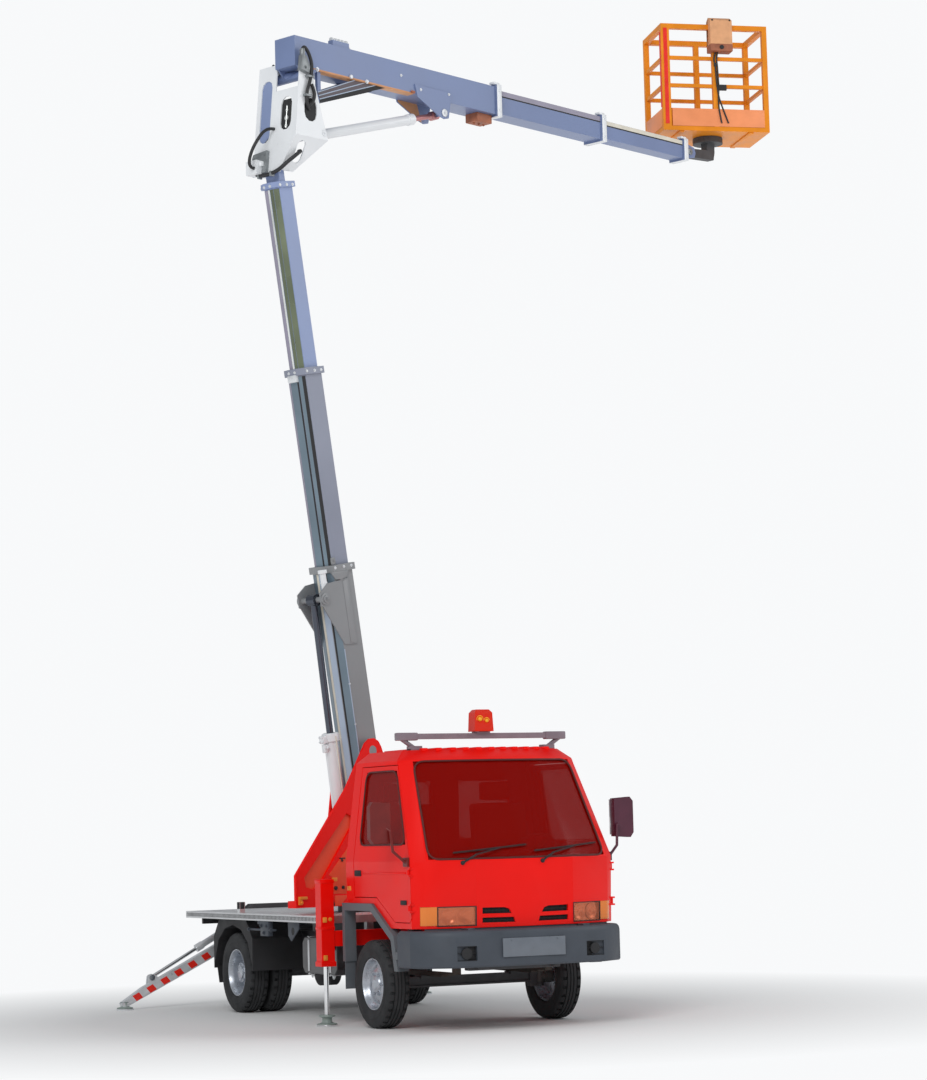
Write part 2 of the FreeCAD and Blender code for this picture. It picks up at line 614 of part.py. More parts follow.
def wheels():
    """Front wheels one tyre each, rear wheels a pair, every tyre on its own pressed rim."""
    for side, letter in ((1, "left"), (-1, "right")):
        front = wheel_place(side * size.front_track_half, FRONT_AXLE_Y, side)
        tyre = turned("FrontTyre" + letter, tyre_outline())
        tyre.Placement = front
        keep("front_tyre_" + letter, tyre)
        rim = turned("FrontRimDisc" + letter, rim_outline(14, 70))
        rim.Placement = front
        bore = rod("FrontHubBore" + letter, 34 + size.pin_gap,
                   (side * (size.front_track_half - 60), FRONT_AXLE_Y, size.tyre_radius),
                   (side, 0, 0), 80 + size.pin_gap)
        keep("front_rim_" + letter, cut("FrontRim" + letter, rim, [bore]))
        tyres, rims = [], []
        for row, shift in (("Outer", 1), ("Inner", -1)):
            x = side * (size.rear_track_half + shift * size.twin_pitch / 2)
            tyre = turned("RearTyre" + row + letter, tyre_outline())
            tyre.Placement = wheel_place(x, REAR_AXLE_Y, side)
            tyres.append(tyre)
            rim = turned("RearRim" + row + letter, rim_outline(-size.tyre_width / 2 + 26, 90))
            rim.Placement = wheel_place(x, REAR_AXLE_Y, side * shift)
            rims.append(rim)
        hub = rod("RearHub" + letter, 88, (side * (size.rear_track_half - 100), REAR_AXLE_Y,
                                           size.tyre_radius), (side, 0, 0), 260)
        bore = rod("RearHubBore" + letter, 38 + size.pin_gap, (side * (size.rear_track_half - 130),
                   REAR_AXLE_Y, size.tyre_radius), (side, 0, 0), 195)
        keep("rear_tyres_" + letter, group("RearTyres" + letter, tyres))
        keep("rear_rims_" + letter, cut("RearRims" + letter,
                                        fuse("RearRimPair" + letter, rims + [hub]), [bore]))


def stub_axles():
    """The steered knuckles: an eye on the kingpin, a drum and the steering arm."""
    z, y, eye = size.tyre_radius, FRONT_AXLE_Y, size.kingpin_half
    for side, letter in ((1, "left"), (-1, "right")):
        name = "Knuckle" + letter
        block = fuse(name + "Block", [
            rod(name + "Eye", 34, (side * eye, y, z - 51), (0, 0, 1), 102),
            rod(name + "Spindle", 34, (side * eye, y, z), (side, 0, 0),
                size.front_track_half - eye + 20),
            rod(name + "Drum", 56, (side * (eye + 40), y, z), (side, 0, 0), 60)])
        bore = rod(name + "Bore", 16 + size.pin_gap, (side * eye, y, z - 60), (0, 0, 1), 120)
        keep("stub_axle_" + letter, cut(name, block, [bore]))


# ---------------------------------------------------------------- cab
# Half outlines of the cab in plan, front to rear on the left side: height, then (x, y) points.
FRONT, REAR, HALF = -size.cab_front, -size.cab_rear, size.cab_half_width
CAB_LEVELS = (
    (size.cab_floor, ((0, FRONT + 20), (420, FRONT + 60), (790, FRONT + 185),
                      (HALF - 6, FRONT + 274), (HALF - 6, REAR))),
    (1320, ((0, FRONT), (420, FRONT + 40), (790, FRONT + 165), (HALF, FRONT + 260),
            (HALF, REAR))),
    (2110, ((0, FRONT + 450), (360, FRONT + 484), (692, FRONT + 596), (HALF - 105, FRONT + 684),
            (HALF - 105, REAR - 20))),
    (size.cab_roof, ((0, FRONT + 565), (330, FRONT + 596), (620, FRONT + 694),
                     (HALF - 190, FRONT + 768), (HALF - 190, REAR - 90))),
)
# Underside of the cab over the front wheel, seen from the side: (y, z) points.
ARCH = ((-2410, 400), (-2340, 745), (-1925, 990), (-1300, 990), (-1300, 400))


def cab_volume(name, distance, floor_rise=0):
    """The cab's outer form moved inwards by a distance, without the wheel arch."""
    sections = []
    for number, (height, half) in enumerate(CAB_LEVELS):
        outline = [(x, y) for x, y in half] + [(-x, y) for x, y in reversed(half[1:])]
        if number == 0:
            height += floor_rise
        if number == len(CAB_LEVELS) - 1:
            height -= distance
        sections.append((height, inset(outline, distance)))
    form = lofted(name + "Form", sections)
    arch = plate(name + "Arch", "YZ", -1000, 2000, inset(list(reversed(ARCH)), -distance))
    return cut(name, form, [arch])


def front_prism(name, outline, y_low, y_high):
    """A block through a front-view outline of (x, z) points, between two places along Y."""
    return plate(name, "XZ", -y_high, y_high - y_low, outline)


def side_prism(name, outline, x_low, x_high):
    return plate(name, "YZ", x_low, x_high - x_low, outline)


DOOR = ((-2634, 880), (-2600, 850), (-2330, 850), (-1990, 1040), (-1560, 1040), (-1560, 2070),
        (-2238, 2070), (-2600, 1385), (-2634, 1300))
HINGE_LEVELS = (960, 1235)
DOOR_WINDOW = ((-2528, size.window_low), (-1650, size.window_low), (-1650, size.window_high),
               (-2234, size.window_high))
SCREEN = ((-768, size.screen_low), (768, size.screen_low), (686, size.screen_high),
          (-686, size.screen_high))
REAR_WINDOWS = (((-610, 1480), (-120, 1480), (-120, 1960), (-580, 1960)),
                ((120, 1480), (610, 1480), (580, 1960), (120, 1960)))
LAMPS = (((422, 814), (826, 822), (826, 968), (422, 960)),
         ((-826, 822), (-422, 814), (-422, 960), (-826, 968)))
# Two grille slots on the left side, one over the other, in front view.
GRILLE_SLOTS = (((130, 903), (372, 905), (372, 952), (190, 950), (152, 938)),
                ((100, 834), (372, 836), (372, 875), (112, 873)))
SLOT_DEPTH = 30
# Tools for the front start ahead of the nose. Those for lamps and grilles end before the arches.
AHEAD, NOSE_END, SCREEN_END = FRONT - 95, FRONT + 305, FRONT + 905


def grilles(zone):
    """Recesses that follow the bow of the nose, each side's two slots parted by a slat."""
    slots = []
    for number, outline in enumerate(GRILLE_SLOTS):
        for side in (1, -1):
            name = "Grille%d%s" % (number, "Left" if side > 0 else "Right")
            form = front_prism(name + "Form", [(side * x, z) for x, z in outline], AHEAD, NOSE_END)
            slots.append(common(name, [zone, form]))
    return slots


def door_hinges(letter, side):
    """Knuckles on the door between pinned lugs on the pillar, at two levels."""
    x, y, pin = side * size.door_hinge_x, -size.door_hinge_back, size.door_pin_radius
    knuckles, lugs, bores = [], [], []
    for number, level in enumerate(HINGE_LEVELS):
        name = "Hinge%s%d" % (letter, number)
        root = min(x, x - side * 27)
        knuckles.append(rod(name + "Knuckle", pin + 4, (x, y, level - 20), (0, 0, 1), 40))
        knuckles.append(box(name + "Leaf", (root, y - 8, level - 20), (27, 16, 40)))
        bores.append(rod(name + "Bore", pin + size.pin_gap, (x, y, level - 30), (0, 0, 1), 60))
        lugs.append(rod(name + "Pin", pin, (x, y, level - 34), (0, 0, 1), 68))
        for base in (level - 34, level + 21):
            lugs.append(rod(name + "Lug%d" % base, 8, (x, y, base), (0, 0, 1), 13))
            lugs.append(box(name + "Arm%d" % base, (x - 8, y - 36, base), (16, 36, 13)))
            lugs.append(box(name + "Root%d" % base, (min(x, x - side * 39), y - 36, base),
                            (39, 20, 13)))
    return knuckles, lugs, bores


def cab():
    """A hollow cab of double walls, split at its doors, glass, lamps, bumper and mouldings."""
    outer = cab_volume("CabOuter", 0)
    inner = cab_volume("CabInner", size.cab_wall, size.cab_wall)
    walls = cut("CabWalls", outer, [inner])
    glass_zone = cut("GlassZone", cab_volume("GlassOuter", 10),
                     [cab_volume("GlassInner", 10 + size.glass_thick)])
    lamp_zone = cut("LampZone", cab_volume("LampOuter", 0),
                    [cab_volume("LampInner", SLOT_DEPTH)])

    gap = size.door_gap
    openings, hinge_lugs = [], []
    for side, letter in ((1, "left"), (-1, "right")):
        low, high = (600, 1000) if side > 0 else (-1000, -600)
        hole = inset(DOOR, -gap)
        openings.append(side_prism("DoorOpening" + letter, hole, low, high))
        openings.append(side_prism("DoorRearGap" + letter,
                                   [(-1566, 1030), (-1550, 1030), (-1550, 2070), (-1566, 2070)],
                                   low, high))
        leaf = common("DoorLeaf" + letter, [cut("DoorWalls" + letter, outer, [inner]),
                                            side_prism("DoorForm" + letter, DOOR, low, high)])
        window = side_prism("DoorWindow" + letter, DOOR_WINDOW, low, high)
        knuckles, lugs, pin_bores = door_hinges(letter, side)
        hinge_lugs += lugs
        keep("door_" + letter, cut("DoorHung" + letter,
                                   fuse("DoorWithKnuckles" + letter,
                                        [cut("Door" + letter, leaf, [window])] + knuckles),
                                   pin_bores))
        keep("door_glass_" + letter,
             common("DoorGlass" + letter, [glass_zone, side_prism("DoorPane" + letter, DOOR_WINDOW,
                                                                  low, high)]))
    screen = front_prism("ScreenOpening", SCREEN, AHEAD, SCREEN_END)
    rear_windows = [front_prism("RearWindow%d" % n, outline, -1600, -1300)
                    for n, outline in enumerate(REAR_WINDOWS)]
    panes = [common("Screen", [glass_zone, screen])]
    panes += [common("RearPane%d" % n, [glass_zone, tool]) for n, tool in enumerate(rear_windows)]
    keep("cab_glass", group("CabGlass", panes))

    lamps = [common("LampBlock%d" % n,
                    [lamp_zone, front_prism("LampForm%d" % n, outline, AHEAD, NOSE_END)])
             for n, outline in enumerate(LAMPS)]
    keep("headlamps", group("Headlamps", lamps))

    pierced = [screen] + grilles(lamp_zone) + rear_windows + lamps
    shell = cut("CabPierced", walls, openings + pierced)
    hinge_y, hinge_z = size.cab_hinge_back, size.cab_hinge_height
    arms, bores = [shell] + hinge_lugs, []
    for side in (1, -1):
        x = side * 245 - 22
        arms.append(box("TiltArm%d" % side, (x, -hinge_y - 40, hinge_z), (44, 80, 250)))
        arms.append(rod("TiltEye%d" % side, 40, (x, -hinge_y, hinge_z), (1, 0, 0), 44))
        bores.append(rod("TiltBore%d" % side, 22 + size.pin_gap, (x - 5, -hinge_y, hinge_z),
                         (1, 0, 0), 54))
    return keep("cab_shell", cut("CabShell", fuse("CabWithArms", arms), bores))


def cab_fittings():
    """Seats, dashboard, bumper, arch mouldings, roof bar, beacon and mirrors."""
    floor = 990 + size.cab_wall
    seats = [box("SeatBase", (-760, -1990, floor), (1520, 420, 60))]
    for number, (x, width) in enumerate(((-440, 560), (420, 480))):
        seats.append(side_prism("SeatCushion%d" % number,
                                [(-2090, floor + 60), (-1560, floor + 50), (-1560, floor + 150),
                                 (-2070, floor + 190), (-2100, floor + 150)],
                                x - width / 2, x + width / 2))
        seats.append(side_prism("SeatBack%d" % number,
                                [(-1650, floor + 100), (-1540, floor + 100), (-1478, floor + 720),
                                 (-1500, floor + 760), (-1560, floor + 740)],
                                x - width / 2, x + width / 2))
        seats.append(side_prism("HeadRest%d" % number,
                                [(-1560, floor + 740), (-1490, floor + 740), (-1480, floor + 900),
                                 (-1540, floor + 910)], x - 130, x + 130))
    keep("seats", fuse("Seats", seats))

    low = size.cab_floor + size.cab_wall
    desk = side_prism("DashDesk", [(-2680, low), (-2480, low), (-2440, 1180),
                                   (-2430, 1290), (-2640, 1315), (-2680, 1260)], -630, 630)
    column_start, way = (330, -2500, 1230), (0, 0.62, 0.46)
    column = rod("SteeringColumn", 26, column_start, way, 190)
    wheel = document.addObject("Part::Torus", "SteeringRim")
    wheel.Radius1, wheel.Radius2 = 200, 14
    reach = 190 / math.hypot(way[1], way[2])
    middle = Vector(330, -2500 + way[1] * reach, 1230 + way[2] * reach)
    wheel.Placement = Placement(middle, Rotation(Z_AXIS, Vector(*way)))
    spokes = [box("Spoke%d" % n, (-198, -15, -8), (396, 30, 16)) for n in range(2)]
    for number, spoke in enumerate(spokes):
        turn = Rotation(Z_AXIS, Vector(*way)).multiply(Rotation(Z_AXIS, 30 + 90 * number))
        spoke.Placement = Placement(middle.add(turn.multVec(Vector(-198, -15, -8))), turn)
    keep("dashboard", fuse("Dashboard", [desk, column, wheel] + spokes))

    front, low, high = -size.bumper_front, size.bumper_low, size.bumper_high
    half = [(0, front), (272, front + 11), (649, front + 52), (860, front + 200),
            (905, front + 330), (905, front + 570)]
    inner_half = [(0, front + 50), (262, front + 60), (625, front + 100), (816, front + 230),
                  (855, front + 340), (855, front + 580)]
    outline = half + [(-x, y) for x, y in reversed(half[1:])]
    hollow = inner_half + [(-x, y) for x, y in reversed(inner_half[1:])]
    form = lofted("BumperForm", [(height, inset(outline, back)) for height, back in (
        (low, 9), (low + 14, 0), (high - 45, 0), (high - 20, 5), (high - 6, 15), (high, 24))])
    pockets = [front_prism("FogPocket%d" % side,
                           [(side * 555 - 80, low + 53), (side * 555 + 80, low + 53),
                            (side * 555 + 80, high - 120), (side * 555 - 80, high - 120)],
                           front - 10, front + 70) for side in (1, -1)]
    beam = cut("BumperBeam", form,
               [plate("BumperHollow", "XY", size.bumper_low - 10, 400, hollow)] + pockets)
    brackets = []
    for side in (1, -1):
        brackets.append(box("BumperArm%d" % side, (side * 500 - 30, front + 75, 640),
                            (60, 60, 160)))
        brackets.append(box("BumperFoot%d" % side, (side * 500 - 30, front + 75, 740),
                            (60, 200, 60)))
    # The flange runs in under the cab, where a closing strip stands up to its floor.
    flange = [(0, front + 40), (255, front + 50), (615, front + 90), (830, front + 225),
              (865, front + 325), (790, front + 345), (600, front + 205), (0, front + 140)]
    lip = plate("BumperLip", "XY", high - 30, 30,
                flange + [(-x, y) for x, y in reversed(flange[1:-1])])
    floor_half = CAB_LEVELS[0][1]
    floor_line = list(floor_half) + [(-x, y) for x, y in reversed(floor_half[1:])]
    strip = cut("CloserForm",
                plate("CloserOuter", "XY", high - 30, size.cab_floor - high + 30,
                      inset(floor_line, 8)),
                [plate("CloserInner", "XY", high - 40, size.cab_floor - high + 60,
                       inset(floor_line, 20))])
    closer = common("Closer", [strip, box("CloserRoom", (-1000, FRONT - 95, high - 60),
                                          (2000, 300, 120))])
    keep("bumper", fuse("Bumper", [beam, lip, closer] + brackets))

    outer = [(-2410, 470), (-2340, 745), (-1925, 990), (-1345, 990), (-1345, 520)]
    inner = [(-1395, 520), (-1395, 930), (-1908, 930), (-2286, 708), (-2345, 470)]
    guards = []
    for side in (1, -1):
        name = "Moulding%s" % ("Left" if side > 0 else "Right")
        x_low = 800 if side > 0 else -900
        band = side_prism(name + "Band", outer + inner, x_low, x_low + 100)
        flap = box(name + "Flap", (x_low + 5, -1380, 300), (90, 8, 230))
        tie = box(name + "Tie", (x_low, -2410, 560), (100, 30, 60))
        guards.append(fuse(name, [band, flap, tie]))
    keep("arch_mouldings", group("ArchMouldings", guards))

    bar_y, bar_z = -2150, size.roof_bar_height
    pieces = [box("RoofBarTube", (-740, bar_y - 25, bar_z - 22), (1480, 50, 44))]
    for side in (1, -1):
        way = (side * 130, 0, bar_z - size.cab_roof - 22)
        pieces.append(rod("RoofBarFoot%d" % side, 18, (side * 600, bar_y, size.cab_roof + 22), way,
                          math.hypot(way[0], way[2])))
        pieces.append(box("RoofBarPad%d" % side, (side * 590 - 50, bar_y - 40, "cab_roof"),
                          (100, 80, 34)))
    pieces.append(box("BeaconSeat", (-60, bar_y - 45, bar_z + 20), (120, 90, 14)))
    keep("roof_bar", fuse("RoofBar", pieces))
    seat = bar_z + 34
    # A boxy lens: (height over its seat, half width, half depth).
    lens = [(seat + rise, [(-wide, bar_y - deep), (wide, bar_y - deep), (wide, bar_y + deep),
                           (-wide, bar_y + deep)])
            for rise, wide, deep in ((0, 84, 62), (150, 78, 56), (176, 56, 40))]
    keep("beacon", lofted("BeaconLens", lens))


def mirrors():
    """Door mirrors on bent tubes."""
    for side, letter in ((1, "left"), (-1, "right")):
        base = (side * 892, -2590, 1310)
        knee = (side * 985, -2560, 1400)
        pieces = [hose("MirrorArm" + letter, 11,
                       [base, knee, (side * 1000, -2545, 1560), (side * 1040, -2500, 1600)]),
                  box("MirrorBase" + letter, (min(side * 880.3, side * 898.3), -2630, 1280),
                      (18, 80, 70))]
        head = plate("MirrorHead" + letter, "XZ", 2470, 62,
                     [(side * 985, 1470), (side * 1130, 1460), (side * 1158, 1500),
                      (side * 1158, 1750), (side * 1130, 1785), (side * 985, 1775)])
        keep("mirror_" + letter, fuse("Mirror" + letter, pieces + [head]))


# ---------------------------------------------------------------- turret
def turret():
    """Two tall side plates on the slewing ring's base, drawn in the turned frame."""
    half, thick = size.turret_half, size.turret_plate
    low = size.ring_top + size.pin_gap
    px, pz = -size.pivot_back, size.pivot_height
    ear = [(px + 110 * math.cos(math.radians(a)), pz + 110 * math.sin(math.radians(a)))
           for a in (20, 50, 80, 110, 145)]
    near = [(-1160, low), (430, low), (430, 1000), (250, 1400), (-60, 2200)] + ear + \
           [(-540, 1930), (-1160, 1210)]
    far = [(-740, low), (430, low), (430, 1000), (250, 1400), (-60, 2200)] + ear + \
          [(-300, 2100), (-380, 1600), (-740, 1190)]
    bore = ((px, pz), 45 + size.pin_gap)
    window = [(-1040, 1110), (-960, 1090), (-880, 1120), (-480, 1610), (-470, 1690), (-540, 1720),
              (-1060, 1190)]
    pieces = [plate("NearPlate", "XZ", half - thick, thick, near, [bore, window]),
              plate("FarPlate", "XZ", -half, thick, far, [bore]),
              box("TurretBase", (-740, -half + 2, low), (1170, 2 * half - 4, 60)),
              box("TurretTail", (-1160, -half + 2, low), (421, 95, 60)),
              rod("LiftFootPin", 30, (-size.lift_foot_back, -half + 2, size.lift_foot_height),
                  (0, 1, 0), 2 * half - 4),
              plate("FrontWall", "YZ", 0, 12, [(-half + 2, 0), (half - 2, 0), (half - 2, 400),
                                               (-half + 2, 400)])]
    pieces[-1].Placement = Placement(Vector(412, 0, low + 40),
                                     Rotation(Y_AXIS, -math.degrees(math.atan2(180, 400))))
    for side in (1, -1):
        pieces.append(box("LiftCheek%d" % side,
                          (-size.lift_foot_back - 70, side * 110 - 12, low + 40), (140, 24, 240)))
    solid = fuse("TurretSolid", pieces)
    return keep("turret", moved("Turret", solid, SLEW))


# ---------------------------------------------------------------- boom
def boom_outline(shrink):
    """Cross-section of a boom section, its folded face towards the lift cylinder."""
    x, y = (size.boom_depth - shrink) / 2, (size.boom_width - shrink) / 2
    fold = size.boom_fold
    return [(x, -y), (x, y), (37 - x, y), (-x, fold), (-x, -fold), (37 - x, -y)]


def boom_section(name, index, tail, head, collar):
    """A hollow section with its collar, its own tail pads and the pads inside its head."""
    shrink = index * size.boom_step
    wall = 2 * size.boom_wall
    profile, hollow = boom_outline(shrink), boom_outline(shrink + wall)
    pieces = [plate(name + "Tube", "XY", tail, head - tail, profile, [hollow]),
              plate(name + "Collar", "XY", head - 20, 60 if collar else 40,
                    boom_outline(shrink - 40), [hollow])]
    x, y = (size.boom_depth - shrink) / 2, (size.boom_width - shrink) / 2
    pad = size.boom_step / 2 - size.boom_wall - size.slide_gap
    spots = []
    if index:
        spots.append(("Tail", tail, x - 1, y - 1, pad + 1))
    if index < 2:
        spots.append(("Head", head - 80, x - size.boom_wall - pad, y - size.boom_wall - pad,
                      pad + 1))
    for spot, start, px, py, thick in spots:
        for side in (1, -1):
            pieces.append(box("%s%sPadX%d" % (name, spot, side),
                              (px if side > 0 else -px - thick, -40, start), (thick, 80, 80)))
            pieces.append(box("%s%sPadY%d" % (name, spot, side),
                              (-40, py if side > 0 else -py - thick, start), (80, thick, 80)))
    return pieces


def boom():
    """Base with trunnions and cylinder gussets, then two sections that slide out of it."""
    pieces = boom_section("BoomBase", 0, -size.boom_foot, size.boom_head_1, True)
    y = size.boom_width / 2
    for side in (1, -1):
        start = y - 2 if side > 0 else -y + 2
        pieces.append(rod("Trunnion%d" % side, 45, (0, start, 0), (0, side, 0),
                          size.turret_half - y + 2))
        pieces.append(rod("TrunnionBoss%d" % side, 75, (0, start, 0), (0, side, 0), 40))
        low = -y if side < 0 else y + 12
        pieces.append(plate("Gusset%d" % side, "XZ", -low, 12,
                            [(-310, 1300), (-290, 1290), (-90, 940), (60, 930), (60, 1500),
                             (-200, 1480), (-310, 1410)]))
        pieces.append(rod("LiftHeadPin%d" % side, 25,
                          (-size.lift_pin_out, side * (LIFT_EYES[1] / 2 + size.open_gap),
                           size.lift_pin_up),
                          (0, side, 0), y + 12 - LIFT_EYES[1] / 2 - size.open_gap))
    pieces.append(plate("BoomFootPlate", "XY", -size.boom_foot - 10, 12, boom_outline(0)))
    keep("boom_base", moved("BoomBasePlaced", fuse("BoomBase", pieces), BOOM))
    middle = boom_section("BoomMiddle", 1, size.boom_tail_2, size.boom_head_2, True)
    keep("boom_middle", moved("BoomMiddlePlaced", fuse("BoomMiddle", middle), BOOM))
    top = boom_section("BoomTop", 2, size.boom_tail_3, size.boom_head_3, False)
    pieces = top + [
        plate("BoomCap", "XY", size.boom_head_3 + 8, 22, boom_outline(2 * size.boom_step - 40)),
        box("LevelLug", (-34, -80, size.boom_head_3 + 20), (68, 160, size.level_pin_gap - 20)),
        rod("LevelBoss", 34, (0, -80, LEVEL_PIN), (0, 1, 0), 160)]
    bore = rod("LevelBore", 20 + size.pin_gap, (0, -100, LEVEL_PIN), (0, 1, 0), 200)
    keep("boom_top", moved("BoomTopPlaced", cut("BoomTop", fuse("BoomTopSolid", pieces), [bore]),
                           BOOM))


def cylinder(name, frame, start, end, barrel_length, barrel_radius, rod_radius, stroke_end,
             eye, pins, widths):
    """A barrel and its rod between two pins, both drawn along Z and turned into their plane.

    stroke_end is the distance from the first pin to the rod's piston as drawn, eye the radius of
    both eyes, pins the radii of the two pins, widths the widths of the two eyes.
    """
    way = Vector(end[0] - start[0], 0, end[1] - start[1])
    place = frame.multiply(Placement(Vector(start[0], 0, start[1]), Rotation(Z_AXIS, way)))
    total = way.Length
    bore = barrel_radius - 8
    outline = [(0, eye * 0.7), (barrel_radius, eye * 0.7), (barrel_radius, barrel_length - 70),
               (barrel_radius + 6, barrel_length - 70), (barrel_radius + 6, barrel_length),
               (rod_radius + size.slide_gap, barrel_length),
               (rod_radius + size.slide_gap, barrel_length - 40), (bore, barrel_length - 40),
               (bore, eye * 0.7 + 22), (0, eye * 0.7 + 22)]
    barrel = cut(name + "Barrel", fuse(name + "BarrelSolid", [
        turned(name + "Tube", outline),
        rod(name + "Eye", eye, (0, -widths[0] / 2, 0), (0, 1, 0), widths[0])]),
        [rod(name + "EyeBore", pins[0] + size.pin_gap, (0, -widths[0], 0), (0, 1, 0),
             2 * widths[0])])
    piston = bore - size.slide_gap
    stick = cut(name + "Rod", fuse(name + "RodSolid", [
        turned(name + "Stick", [(0, stroke_end), (piston, stroke_end), (piston, stroke_end + 30),
                                (rod_radius, stroke_end + 30), (rod_radius, total - eye * 0.6),
                                (0, total - eye * 0.6)]),
        rod(name + "RodEye", eye * 0.9, (0, -widths[1] / 2, total), (0, 1, 0), widths[1])]),
        [rod(name + "RodBore", pins[1] + size.pin_gap, (0, -widths[1], total), (0, 1, 0),
             2 * widths[1])])
    return (moved(name + "BarrelPlaced", barrel, place), moved(name + "RodPlaced", stick, place))


def lift_cylinder():
    lean = math.radians(size.boom_lean)
    out, up = size.lift_pin_out, size.lift_pin_up
    head = (-size.pivot_back - out * math.cos(lean) - up * math.sin(lean),
            size.pivot_height - out * math.sin(lean) + up * math.cos(lean))
    barrel, stick = cylinder("Lift", SLEW, (-size.lift_foot_back, size.lift_foot_height), head,
                             size.lift_barrel_length, size.lift_barrel_radius,
                             size.lift_rod_radius, 1080, 56, (30, 25), LIFT_EYES)
    keep("lift_barrel", barrel)
    keep("lift_rod", stick)


# ---------------------------------------------------------------- elbow
def elbow():
    """A folded white frame of plates between boom and jib, open to the front."""
    thick, near, far, top = size.elbow_plate, size.elbow_near, size.elbow_far, size.elbow_top
    foot = size.elbow_foot
    slope = math.degrees(math.atan2(110, top + 60))
    along = 1 / math.cos(math.radians(slope))
    level = lambda z: (z + 60) * along
    rear_outline = [(far + thick, 0), (far + thick, level(top)), (-20, level(top)),
                    (-20, level(665)), (-near + thick, level(665)), (-near + thick, level(top)),
                    (-near, level(top)), (-near, level(241)), (-foot, level(-45)), (-foot, 0)]
    rear = plate("ElbowRear", "YZ", 0, thick, rear_outline,
                 [oval((90, level(500)), 130, 560), oval((-165, level(450)), 130, 300)])
    rear.Placement = Placement(Vector(-60, 0, -60), Rotation(Y_AXIS, slope))
    near_upper = plate("ElbowNearUpper", "XZ", near - thick, thick,
                       [(-20, 241), (364, 241), (170, 861), (55, 905)],
                       [oval((160, 480), 150, 210)])
    near_lower = plate("ElbowNearLower", "XZ", -thick, thick,
                       [(-50, 0), (94, 0), (364, math.hypot(near - foot, 286)),
                        (-20, math.hypot(near - foot, 286))],
                       [oval((85, 185), 90, 210)])
    fall = math.degrees(math.atan2(near - foot, 286))
    near_lower.Placement = Placement(Vector(0, -foot, -45), Rotation(X_AXIS, fall))
    far_plate = plate("ElbowFar", "XZ", -far - thick, thick,
                      [(-50, -45), (94, -45), (364, 241), (170, 861), (55, 905)])
    pieces = [rear, near_upper, near_lower, far_plate,
              rod("LevelPin", 20, (0, -150, 0), (0, 1, 0), 150 + far + thick),
              rod("JibPin", 24, (size.jib_pin_out, -near, size.jib_pin_up), (0, 1, 0),
                  near + far + thick),
              rod("JibFootPin", 22, (size.jib_foot_out, -near, size.jib_foot_up), (0, 1, 0),
                  near + far + thick),
              box("GuardBox", (-150, 60, -60), (105, 130, 120)),
              box("LevelCheek", (-45, -foot - 10, -45), (90, 14, 90)),
              box("HoseClampLow", (-110, 40, 10), (62, 30, 40)),
              box("TopStrap", (50, -20, 850), (110, 222, 12))]
    keep("elbow", moved("Elbow", fuse("ElbowSolid", pieces), ELBOW))
    lines = [hose("HoseLow", 14, [(-150, 90, -10), (-205, 90, -10), (-230, 60, 70),
                                  (-205, 10, 190), (-110, -30, 330), (-17.5, -30, 330)]),
             hose("HoseHigh", 14, [(82, 60, 862), (82, 60, 905), (108, 90, 930),
                                   (135, 120, 905), (135, 120, 862)])]
    keep("elbow_hoses", moved("ElbowHoses", group("ElbowHosePair", lines), ELBOW))


# ---------------------------------------------------------------- jib
def jib_outline(shrink):
    y, z = (size.jib_width - shrink) / 2, (size.jib_depth - shrink) / 2
    return [(-y, size.jib_rise - z), (y, size.jib_rise - z), (y, size.jib_rise + z),
            (-y, size.jib_rise + z)]


def jib_section(name, index, tail, head):
    shrink, wall = index * size.jib_step, 2 * size.jib_wall
    hollow = jib_outline(shrink + wall)
    pieces = [plate(name + "Tube", "YZ", tail, head - tail, jib_outline(shrink), [hollow]),
              plate(name + "Collar", "YZ", head - 20, 60, jib_outline(shrink - 40), [hollow])]
    y, z = (size.jib_width - shrink) / 2, (size.jib_depth - shrink) / 2
    pad = size.jib_step / 2 - size.jib_wall - size.slide_gap
    spots = []
    if index:
        spots.append(("Tail", tail, y - 1, z - 1, pad + 1))
    if index < 2:
        spots.append(("Head", head - 80, y - size.jib_wall - pad, z - size.jib_wall - pad,
                      pad + 1))
    for spot, start, py, pz, thick in spots:
        for side in (1, -1):
            pieces.append(box("%s%sPadY%d" % (name, spot, side),
                              (start, py if side > 0 else -py - thick, size.jib_rise - 40),
                              (80, thick, 80)))
            pieces.append(box("%s%sPadZ%d" % (name, spot, side),
                              (start, -40, size.jib_rise + (pz if side > 0 else -pz - thick)),
                              (80, 80, thick)))
    return pieces


